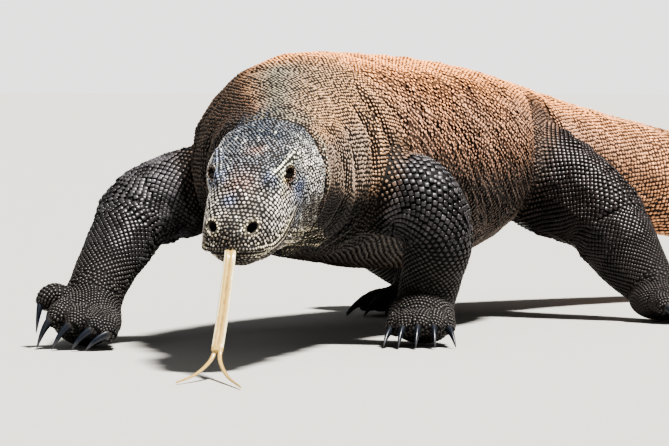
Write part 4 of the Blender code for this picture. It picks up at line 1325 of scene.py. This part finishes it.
def lay_out():
    """Every scale's place: rows first, then the head's, then small ones wherever hide still shows."""
    rows, _, near = on_hide(ordered_scales(), 0.010)
    rows = rows[near]
    rows = rows[~bare(survey(rows))]
    widths = scale_width(survey(rows))
    keep = spaced(rows, widths * ROW_CLEAR)
    rows, widths = rows[keep], widths[keep]
    extra = scattered(SCATTERED, 31)
    at = survey(extra)
    size = scale_width(at)
    ok = ~bare(at)
    extra, size, place = extra[ok], size[ok], at.place[ok]
    tree = tree_of(rows)
    gap = np.array([tree.find(p)[2] for p in extra.tolist()])
    clear = gap > size * np.where(place < HEAD_END, HEAD_CLEAR, BODY_CLEAR)
    extra, size = extra[clear], size[clear]
    keep = spaced(extra, size * FILL_CLEAR)
    return np.concatenate([rows, push_apart(rows, widths, extra[keep], size[keep], SETTLING)])


spots, outs, _ = on_hide(lay_out())
allowed = ~bare(survey(spots))
spots, outs = spots[allowed], outs[allowed]
at = survey(spots)
widths = scale_width(at)
tree = tree_of(spots)
gaps = np.array([np.mean([d for _, _, d in tree.find_n(p, 5)[1:]]) for p in spots.tolist()])
widths = np.clip(gaps, widths * NARROWEST, widths * WIDEST)
colours = paint(at)
lies = lie_of(at)


def bead(name, sides, foot, shoulder, crown=None, keel=0.0, long=1.0):
    """One scale of unit size: a closed bead with its foot sunk in the hide. shoulder and crown are
    the radius and height of its rim and of its flat top; without a crown it ends in a low peak."""
    form = bmesh.new()
    rings = []
    for share, height in [(foot, BEAD_FOOT), shoulder] + [crown] * bool(crown):
        turns = [math.tau * k / sides for k in range(sides)]
        ring = [(math.cos(t) * share * long, math.sin(t) * share, height) for t in turns]
        rings.append([form.verts.new(corner) for corner in ring])
    for low, high in zip(rings, rings[1:]):
        for k in range(sides):
            n = (k + 1) % sides
            form.faces.new((low[k], low[n], high[n], high[k]))
    if crown:
        form.faces.new(rings[-1])
    else:
        peak = form.verts.new((keel, 0, 1))
        for k in range(sides):
            form.faces.new((rings[-1][k], rings[-1][(k + 1) % sides], peak))
    form.faces.new(rings[0][::-1])
    bmesh.ops.triangulate(form, faces=form.faces)
    mesh = bpy.data.meshes.new(name)
    form.to_mesh(mesh)
    form.free()
    mesh.shade_smooth()
    co = points_of(mesh)
    # The rise sets where each scale gets the painted shade of its rim and the painted highlight of its top.
    store(mesh, "rise", "FLOAT", np.interp(co[:, 2], (BEAD_FOOT, shoulder[1], 1), (0, 0.55, 1)))
    patch = np.column_stack([co[:, :2], np.zeros(len(co))])
    store(mesh, "patch", "FLOAT_VECTOR", patch, "vector")
    obj = new_object(name, mesh)
    obj.hide_render = True
    return obj


def setting_tree():
    """Sets a bead on each point, turned to the hide and along its lie, and unwraps it at its root."""
    tree, given, gives = new_group("set_scales", "GeometryNodeTree", [
        ("Geometry", "INPUT", "NodeSocketGeometry", None),
        ("Bead", "INPUT", "NodeSocketObject", None),
        ("Finish", "INPUT", "NodeSocketMaterial", None),
        ("Patch Width", "INPUT", "NodeSocketFloat", PATCH),
        ("Geometry", "OUTPUT", "NodeSocketGeometry", None),
    ])

    def named(label):
        made = node(tree, "GeometryNodeInputNamedAttribute", {"Name": label}, data_type="FLOAT_VECTOR")
        return made.outputs[0]

    bead_in = node(tree, "GeometryNodeObjectInfo", {"Object": given.outputs["Bead"]})
    stand = node(tree, "FunctionNodeAlignRotationToVector", {"Vector": named("out")}, axis="Z")
    turn = node(tree, "FunctionNodeAlignRotationToVector", {
        "Rotation": stand.outputs[0], "Vector": named("lie"),
    }, axis="X", pivot_axis="Z")
    laid = node(tree, "GeometryNodeInstanceOnPoints", {
        "Points": given.outputs["Geometry"], "Instance": bead_in.outputs["Geometry"],
        "Rotation": turn.outputs[0], "Scale": named("size"),
    })
    real = node(tree, "GeometryNodeRealizeInstances", {"Geometry": laid.outputs[0]})
    local = node(tree, "ShaderNodeVectorMath", {
        0: named("patch"), "Scale": given.outputs["Patch Width"],
    }, operation="SCALE")
    unwrapped = node(tree, "ShaderNodeVectorMath", {0: named("root"), 1: local.outputs[0]}, operation="ADD")
    mapped = node(tree, "GeometryNodeStoreNamedAttribute", {
        "Geometry": real.outputs[0], "Name": "OFBake", "Value": unwrapped.outputs[0],
    }, data_type="FLOAT2", domain="CORNER")
    geometry = mapped.outputs[0]
    for label in ("out", "lie", "size", "root", "patch"):
        geometry = node(tree, "GeometryNodeRemoveAttribute", {"Geometry": geometry, "Name": label}).outputs[0]
    finish = node(tree, "GeometryNodeSetMaterial", {
        "Geometry": geometry, "Material": given.outputs["Finish"],
    })
    tree.links.new(finish.outputs[0], gives.inputs[0])
    return tree


SETTING = setting_tree()


def set_scales(name, chosen, shape, finish, roots):
    """One piece of scales: points with their directions, sizes and colours, run through the tree."""
    mesh = bpy.data.meshes.new(name)
    mesh.from_pydata((spots[chosen] + SHIFT).tolist(), [], [])
    dice = np.random.default_rng(len(chosen))
    jitter = 1 + 0.05 * dice.standard_normal((len(chosen), 3))
    wide = widths[chosen, None] * np.array((1.0, 1.0, SCALE_HEIGHT)) * np.clip(jitter, 0.85, 1.15)
    store(mesh, "out", "FLOAT_VECTOR", outs[chosen], "vector")
    store(mesh, "lie", "FLOAT_VECTOR", lies[chosen], "vector")
    store(mesh, "size", "FLOAT_VECTOR", wide, "vector")
    store(mesh, "root", "FLOAT_VECTOR", np.column_stack([roots, np.zeros(len(chosen))]), "vector")
    uneven = 0.20 + 0.12 * (at.place[chosen] < STATION["rear"])
    store(mesh, "tone", "FLOAT", np.clip(1 + uneven * dice.standard_normal(len(chosen)), 0.35, 1.8))
    store_paint(mesh, colours[chosen])
    obj = new_object(name, mesh)
    modifier = obj.modifiers.new("set", "NODES")
    modifier.node_group = SETTING
    inputs = {item.name: item.identifier for item in SETTING.interface.items_tree if item.in_out == "INPUT"}
    for label, value in (("Bead", shape), ("Finish", finish), ("Patch Width", PATCH)):
        modifier[inputs[label]] = value
    settle(obj)
    points = points_of(obj.data)
    points[:, 2] = np.maximum(points[:, 2], LOWEST_SCALE)
    move_points(obj.data, points)
    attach(obj, "root")


def on_sheet(share):
    """A share of the unrolled sheet's width or height, kept off its edges."""
    return share * 0.96 + 0.02


def roots_on_body(chosen):
    """Each scale's place on the body unrolled flat: across by its angle, down by its place."""
    place = at.place[chosen]
    down = (place - place.min()) / np.ptp(place)
    return np.column_stack([on_sheet(at.angle[chosen] / math.tau + 0.5), on_sheet(down)])


def roots_on_leg(chosen, leg):
    """The leg unrolled on one half of the sheet, and the palm and toes in strips on the other."""
    share = np.clip(at.leg_place[chosen] / 5, 0, 1)
    roots = np.column_stack([(at.leg_angle[chosen] / math.tau + 0.5) * 0.46 + 0.02, on_sheet(share)])
    nearest = np.full(len(chosen), 1.0) + 9 * (at.foot_gap[chosen] > 0.085)
    for k, tube in enumerate(feet[leg][1:]):
        place, angle, share, past = on_tube(tube, spots[chosen])
        gap = share + past * PAST_END
        mine = (gap < nearest + 0.25 * (k == 0)) & (at.foot_gap[chosen] < FOOT_REACH)
        nearest = np.where(mine, gap, nearest)
        forth = (place - tube.place[0]) / np.ptp(tube.place)
        strip = 0.52 + (k + 0.05 + 0.9 * (angle / math.tau + 0.5)) * STRIP
        roots = np.where(mine[:, None], np.column_stack([strip, on_sheet(forth)]), roots)
    return roots


beads = {
    "neck": bead("neck_bead", 5, 0.45, (0.34, 0.58), long=1.25),
    "trunk": bead("round_bead", 5, 0.50, (0.40, 0.52), long=1.30),
    "head": bead("head_bead", 6, 0.45, (0.345, 0.62), long=1.22),
    "foot": bead("flat_bead", 6, 0.53, (0.46, 0.66)),
    "leg": bead("diamond_bead", 4, 0.68, (0.61, 0.66), (0.45, 1.0)),
    "tail": bead("long_bead", 5, 0.49, (0.39, 0.46), keel=0.20, long=1.32),
}
# Both carry painted shade on the scales' rims and a painted highlight on their tops.
scale_skin = hide_material("scale_horn", 0.96, 0.44, 0.00025)
leg_skin = hide_material("leg_horn", 0.95, 0.34, 0.00025)

on_a_leg, near_foot = at.on_leg > 0.5, at.foot_gap < 0.080
for k, leg in enumerate(LEGS):
    mine = on_a_leg & (np.where(at.foot_gap < 0.125, at.foot, at.leg) == k)
    for part, half in (("leg", ~near_foot), ("foot", near_foot)):
        chosen = np.nonzero(mine & half)[0]
        set_scales(f"scales_{leg}_{part}", chosen, beads[part], leg_skin, roots_on_leg(chosen, leg))
regions = {
    "head": (-1, HEAD_END),
    "neck": (HEAD_END, STATION["shoulders"]),
    "trunk": (STATION["shoulders"], STATION["vent"]),
    "tail": (STATION["vent"], len(STATION)),
}
for part, (first, last) in regions.items():
    mine = np.nonzero(~on_a_leg & (at.place >= first) & (at.place < last))[0]
    mine = mine[np.argsort(at.place[mine], kind="stable")]
    pieces = math.ceil(len(mine) / PIECE_SCALES)
    for k, chosen in enumerate(np.array_split(mine, pieces), 1):
        set_scales(f"scales_{part}_{k}", chosen, beads[part], scale_skin, roots_on_body(chosen))
for shape in beads.values():
    bpy.data.objects.remove(shape)

# ---- Eyes -------------------------------------------------------------------------------------------
# Two dark glass eyes, as a taxidermist sets them: a polished ball with a slightly domed front, a black
# pupil and a near-black brown iris. Each is held by the lids of the hide.

EYE_RADIUS = 0.0084
PUPIL, IRIS = 0.34, 0.66  # radii of the pupil and of the iris, as shares of the eyeball's
DOME = 0.045  # how far the front stands out, as a share of the radius
EYE_SIDES, EYE_RINGS = 40, 31


def eyeball(name, side):
    """A ball of rings round its axis of view, with how far each point lies from that axis."""
    axis = unit(EYE_AXIS * (1, side, 1)) @ head_axes
    across = unit(np.cross(UP, axis))
    over = np.cross(axis, across)
    turns = np.linspace(0, math.tau, EYE_SIDES, endpoint=False)
    circle = across * np.cos(turns)[:, None] + over * np.sin(turns)[:, None]
    points, from_axis = [axis * (1 + DOME)], [0.0]
    for tilt in np.linspace(0, math.pi, EYE_RINGS + 2)[1:-1]:
        ring = axis * math.cos(tilt) + circle * math.sin(tilt)
        points.extend(ring * (1 + DOME * bell(tilt, 0.55)))
        from_axis += [math.sin(tilt) if tilt < math.pi / 2 else 1.0] * EYE_SIDES
    points.append(-axis)
    from_axis.append(1.0)
    around = [(k, (k + 1) % EYE_SIDES) for k in range(EYE_SIDES)]
    faces = [(0, 1 + k, 1 + n) for k, n in around]
    for ring in range(EYE_RINGS - 1):
        a, b = 1 + ring * EYE_SIDES, 1 + (ring + 1) * EYE_SIDES
        faces += [(a + k, b + k, b + n, a + n) for k, n in around]
    last = len(points) - 1
    faces += [(last - EYE_SIDES + k, last, last - EYE_SIDES + n) for k, n in around]
    place = OCCIPUT + (EYE_PLACE * (1, side, 1)) @ head_axes + SHIFT
    mesh = bpy.data.meshes.new(name)
    mesh.from_pydata((np.array(points) * EYE_RADIUS + place).tolist(), [], faces)
    store(mesh, "from_axis", "FLOAT", from_axis)
    mesh.shade_smooth()
    return new_object(name, mesh)


def colour_bands(tree, factor, stops):
    """Colours blended from stop to stop, each a value and a colour."""
    bands = node(tree, "ShaderNodeValToRGB", {"Fac": factor})
    elements = bands.color_ramp.elements
    while len(elements) < len(stops):
        elements.new(0.5)
    for element, (value, colour) in zip(elements, stops):
        element.position, element.color = min(value, 1), (*colour, 1)
    return bands.outputs["Color"]


def glass_eye():
    made, tree, shader = new_material("dark_glass_eye")
    reach = node(tree, "ShaderNodeAttribute", attribute_name="from_axis").outputs["Fac"]
    place = node(tree, "ShaderNodeTexCoord").outputs["Object"]
    grain = node(tree, "ShaderNodeTexNoise", {"Vector": place, "Scale": 900.0, "Detail": 4.0})
    wander = node(tree, "ShaderNodeMath", {0: grain.outputs[0], 1: 0.16}, operation="MULTIPLY")
    radius = node(tree, "ShaderNodeMath", {0: reach, 1: wander.outputs[0]}, operation="ADD")
    rings = colour_bands(tree, radius.outputs[0], [
        (0.0, (0.002, 0.002, 0.002)), (PUPIL + 0.06, (0.003, 0.002, 0.002)),
        (PUPIL + 0.10, (0.018, 0.008, 0.004)), (IRIS, (0.014, 0.007, 0.004)),
        (IRIS + 0.10, (0.006, 0.004, 0.003)),
    ])
    tree.links.new(rings, shader.inputs["Base Color"])
    shader.inputs["Roughness"].default_value = 0.10
    shader.inputs["Specular IOR Level"].default_value = 0.30
    return made


glass = glass_eye()
for name, side in (("eye_left", 1), ("eye_right", -1)):
    eye = eyeball(f"glass_{name}", side)
    eye.data.materials.append(glass)
    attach(eye, "root")
    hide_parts(name)

# ---- Tongue -----------------------------------------------------------------------------------------
# The long forked tongue: one smooth, moist strap of muscle, ochre yellow with paler edges and a groove
# down its middle, which parts into two thin tips on the floor.

TONGUE_SIDE = np.array((0.93, 0.36, 0.0))  # the way its flat side spreads
TONGUE_GRAIN = 0.00045  # the grain of the cast that joins stem and tips
STRAP_RINGS = 90
GROOVE = 0.0009  # the depth of the groove
STEM_END = (4.4, 4.9)  # where along the stem's rows the groove fades out, before the fork
LOWEST_TONGUE = 0.0004  # above the floor
# Middle, half-width and half-thickness along the stem and each tip.
TONGUE_STEM = [
    (0.1250, -0.4688, 0.1182, 0.0050, 0.0016), (0.1285, -0.4850, 0.1172, 0.0054, 0.0018),
    (0.1330, -0.4958, 0.1146, 0.0056, 0.0019), (0.1355, -0.5080, 0.0950, 0.0056, 0.0020),
    (0.1385, -0.5270, 0.0600, 0.0057, 0.0021), (0.1406, -0.5463, 0.0263, 0.0058, 0.0020),
]
TONGUE_TIPS = (
    [(0.1385, -0.5400, 0.0330, 0.0024, 0.0015), (0.1372, -0.5540, 0.0180, 0.0021, 0.0014),
     (0.1350, -0.5850, 0.0070, 0.0018, 0.0012), (0.1328, -0.6245, 0.0022, 0.0009, 0.0009)],
    [(0.1425, -0.5415, 0.0330, 0.0024, 0.0015), (0.1480, -0.5560, 0.0180, 0.0021, 0.0014),
     (0.1740, -0.6000, 0.0070, 0.0018, 0.0012), (0.2112, -0.6583, 0.0022, 0.0009, 0.0009)],
)


def strap_tube(rows):
    """A flattened tube along rows of x, y, z, half-width and half-thickness."""
    places = np.linspace(0, len(rows) - 1, STRAP_RINGS)
    r = smooth_rows(rows, places)
    along = unit(np.gradient(r[:, :3], axis=0))
    side = unit(TONGUE_SIDE - along * (along @ TONGUE_SIDE)[:, None])
    sizes = (r[:, 3], r[:, 4], r[:, 4], np.full(len(r), 2.2))
    return tube_of(places, r[:, :3], along, side, np.cross(along, side), *sizes, inset=0)


def tongue_skin():
    made, tree, shader = new_material("moist_tongue")
    edge = node(tree, "ShaderNodeAttribute", attribute_name="edge").outputs["Fac"]
    place = node(tree, "ShaderNodeTexCoord").outputs["Object"]
    streaks = node(tree, "ShaderNodeMapping", {"Vector": place, "Scale": (1.0, 0.25, 0.25)})
    grain = node(tree, "ShaderNodeTexNoise", {"Vector": streaks.outputs[0], "Scale": 700.0, "Detail": 4.0})
    wander = node(tree, "ShaderNodeMath", {0: grain.outputs[0], 1: 0.5, 2: edge}, operation="MULTIPLY_ADD")
    bands = colour_bands(tree, wander.outputs[0], [
        (0.12, (0.20, 0.110, 0.035)), (0.42, (0.60, 0.42, 0.150)),
        (0.85, (0.52, 0.36, 0.125)), (1.10, (0.84, 0.76, 0.52)),
    ])
    relief = node(tree, "ShaderNodeBump", {"Strength": 0.4, "Distance": 0.0003, "Height": grain.outputs[0]})
    tree.links.new(bands, shader.inputs["Base Color"])
    tree.links.new(relief.outputs["Normal"], shader.inputs["Normal"])
    shader.inputs["Roughness"].default_value = 0.34
    shader.inputs["Coat Weight"].default_value = 0.4
    shader.inputs["Coat Roughness"].default_value = 0.15
    return made


straps = [strap_tube(rows) for rows in (TONGUE_STEM, *TONGUE_TIPS)]
tongue = new_object("forked_tongue", tubes_mesh("forked_tongue", straps, 28))
melt = tongue.modifiers.new("melt", "REMESH")
melt.mode = "VOXEL"
melt.voxel_size = TONGUE_GRAIN
settle(tongue)
tongue_points = relax(points_of(tongue.data), edges_of(tongue.data), 0.5, 5)
move_points(tongue.data, tongue_points)
place, angle, _, past = on_tube(straps[0], tongue_points)
in_stem = np.interp(place, STEM_END, (1.0, 0.0)) * (past < 0.001)
across = np.abs(np.sin(angle))
tongue_points -= normals_of(tongue.data) * (GROOVE * bell(across, 0.22) * in_stem)[:, None]
tongue_points[:, 2] = np.maximum(tongue_points[:, 2], LOWEST_TONGUE)
move_points(tongue.data, tongue_points + SHIFT)
store(tongue.data, "edge", "FLOAT", np.where(in_stem > 0, across, 0.55))
tongue.data.shade_smooth()
tongue.data.materials.append(tongue_skin())
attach(tongue, "root")
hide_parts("tongue")

# ---- Claws ------------------------------------------------------------------------------------------
# Twenty long curved claws of blue-black horn, one on each toe: high and narrow in section, with fine
# ridges along them, polished by wear, duller and paler at the root where the hide ends.

CLAW_LENGTH = 0.035  # from the toe's end to the tip
CLAW_HALF_SIZE = np.array((0.0039, 0.0050))  # across, up
CLAW_TIP_HEIGHT = 0.0012  # above the floor
CLAW_DROP = 0.88  # most of its length that a claw hangs down
CLAW_RISE, CLAW_SUNK = 0.003, 0.003  # where it grows on the toe's end, and how deep its root lies
CLAW_SIDES, CLAW_STEPS = 20, 16


def claw_rings(tube, turn):
    """The rings of one claw, from its root in the toe to its tip by the floor."""
    along = tube.along[-1]
    root = tube.centre[-1] - along * CLAW_SUNK + unit(UP - along * along[2]) * CLAW_RISE
    drop = min(root[2] - CLAW_TIP_HEIGHT, CLAW_LENGTH * CLAW_DROP)
    reach = math.sqrt(CLAW_LENGTH**2 - drop**2) * 0.9
    ahead = heading(turn)
    bend = root + ahead * (reach * 0.55) - UP * (drop * 0.22)
    tip = root + ahead * reach - UP * drop
    across = np.cross(ahead, UP)
    turns = np.linspace(0, math.tau, CLAW_SIDES, endpoint=False)
    rings = []
    for t in np.linspace(0, 1, CLAW_STEPS):
        place = root * (1 - t) ** 2 + bend * (2 * t * (1 - t)) + tip * t**2
        direction = unit((bend - root) * (1 - t) + (tip - bend) * t)
        over = np.cross(across, direction)
        over = unit(over) * np.sign(over[2])
        a, b = CLAW_HALF_SIZE * ((1 - t) ** 0.75 + 0.05)
        out = np.sin(turns) * a * (1 - 0.35 * ramp(-np.cos(turns), 0.2, 1.0))
        rings.append(place + across * out[:, None] + over * (np.cos(turns) * b)[:, None])
    return rings


def claw_mesh(name, tubes, turns):
    """One foot's claws as closed horns, with how far along its claw each point lies."""
    points, faces, along, count = [], [], [], 0
    for tube, turn in zip(tubes, turns):
        rings = claw_rings(tube, turn)
        points += [p for ring in rings for p in ring]
        along += [k / (CLAW_STEPS - 1) for k in range(CLAW_STEPS) for _ in range(CLAW_SIDES)]
        for r in range(CLAW_STEPS - 1):
            for k in range(CLAW_SIDES):
                a, n = count + r * CLAW_SIDES, (k + 1) % CLAW_SIDES
                faces.append((a + k, a + n, a + n + CLAW_SIDES, a + k + CLAW_SIDES))
        faces.append([count + k for k in range(CLAW_SIDES)][::-1])
        count += CLAW_STEPS * CLAW_SIDES
        faces.append([count - CLAW_SIDES + k for k in range(CLAW_SIDES)])
    mesh = bpy.data.meshes.new(name)
    mesh.from_pydata((np.array(points) + SHIFT).tolist(), [], faces)
    store(mesh, "along", "FLOAT", along)
    form = bmesh.new()
    form.from_mesh(mesh)
    bmesh.ops.recalc_face_normals(form, faces=form.faces)
    form.to_mesh(mesh)
    form.free()
    mesh.shade_smooth()
    return mesh


def claw_horn():
    made, tree, shader = new_material("claw_horn")
    along = node(tree, "ShaderNodeAttribute", attribute_name="along").outputs["Fac"]
    place = node(tree, "ShaderNodeTexCoord").outputs["Object"]
    streaks = node(tree, "ShaderNodeMapping", {"Vector": place, "Scale": (1.0, 0.12, 0.35)})
    grain = node(tree, "ShaderNodeTexNoise", {"Vector": streaks.outputs[0], "Scale": 1600.0, "Detail": 5.0})
    wander = node(tree, "ShaderNodeMath", {0: grain.outputs[0], 1: 0.30, 2: along}, operation="MULTIPLY_ADD")
    shades = colour_bands(tree, wander.outputs[0], [
        (0.12, (0.075, 0.065, 0.055)), (0.35, (0.020, 0.024, 0.034)),
        (0.80, (0.012, 0.016, 0.026)), (1.0, (0.055, 0.058, 0.065)),
    ])
    rough = node(tree, "ShaderNodeMapRange", {"Value": grain.outputs[0], "To Min": 0.16, "To Max": 0.42})
    relief = node(tree, "ShaderNodeBump", {"Strength": 0.5, "Distance": 0.0002, "Height": grain.outputs[0]})
    tree.links.new(shades, shader.inputs["Base Color"])
    tree.links.new(rough.outputs[0], shader.inputs["Roughness"])
    tree.links.new(relief.outputs["Normal"], shader.inputs["Normal"])
    return made


horn = claw_horn()
for leg in LEGS:
    turns = [toe[3] for toe in FEET[leg][3]]
    claws = new_object(f"claws_{leg}", claw_mesh(f"claws_{leg}", feet[leg][2:], turns))
    claws.data.materials.append(horn)
    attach(claws, "root")
    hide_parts(*[f"{leg}_claw_{k}" for k in range(1, 6)])

# ---- Floor, light and camera ------------------------------------------------------------------------
# A flat pale studio floor, a strong key lamp high on the right, a weak cool fill lamp on the left, a
# pale surround, and a long lens low in front of the animal.

FLOOR_HALF = 30
LOOK = np.array((-0.3633, 0.9317, -0.0367))  # the lens points a little left, along the body and down
LENS_PLACE = np.array((1.765, -4.410, 0.300))
RIGHT, TOWARD = np.array((0.9317, 0.3633, 0.0)), np.array((0.3633, -0.9317, 0.0))  # level, as the lens sees

corners = [(x * FLOOR_HALF, y * FLOOR_HALF, 0) for x, y in ((-1, -1), (1, -1), (1, 1), (-1, 1))]
floor_mesh = bpy.data.meshes.new("floor")
floor_mesh.from_pydata(corners, [], [(0, 1, 2, 3)])
floor = new_object("floor", floor_mesh)
pale, _, floor_shader = new_material("pale_floor")
floor_shader.inputs["Base Color"].default_value = (0.52, 0.51, 0.49, 1)
floor_shader.inputs["Roughness"].default_value = 0.9
floor.data.materials.append(pale)


def soft_lamp(name, direction, strength, softness, colour):
    """A far lamp whose light comes from one side all over, with soft-edged shadows."""
    lamp = bpy.data.lights.new(name, "SUN")
    lamp.energy, lamp.angle, lamp.color = strength, softness, colour
    obj = new_object(name, lamp)
    obj.rotation_euler = Vector(-direction).to_track_quat("-Z", "Y").to_euler()


soft_lamp("key_lamp", RIGHT * 0.40 + TOWARD * 0.32 + UP * 1.25, 7.6, 0.14, (1.0, 0.965, 0.92))
soft_lamp("fill_lamp", -RIGHT * 0.5 + TOWARD * 1.0 + UP * 0.6, 0.28, 0.5, (0.88, 0.94, 1.0))

world = bpy.data.worlds.new("studio")
bpy.context.scene.world = world
bpy.context.scene.view_settings.look = "AgX - High Contrast"
world.use_nodes = True
seen = node(world.node_tree, "ShaderNodeLightPath").outputs["Is Camera Ray"]
strength = node(world.node_tree, "ShaderNodeMapRange", {"Value": seen, "To Min": 0.17, "To Max": 1.25})
backdrop = world.node_tree.nodes["Background"]
backdrop.inputs["Color"].default_value = (0.98, 0.975, 0.965, 1)
world.node_tree.links.new(strength.outputs[0], backdrop.inputs["Strength"])

lens = bpy.data.cameras.new("camera")
lens.lens, lens.sensor_width = 242, 36
lens.clip_end = 100
camera = new_object("camera", lens)
camera.location = LENS_PLACE + SHIFT
camera.rotation_euler = Vector(LOOK).to_track_quat("-Z", "Y").to_euler()
bpy.context.scene.camera = camera
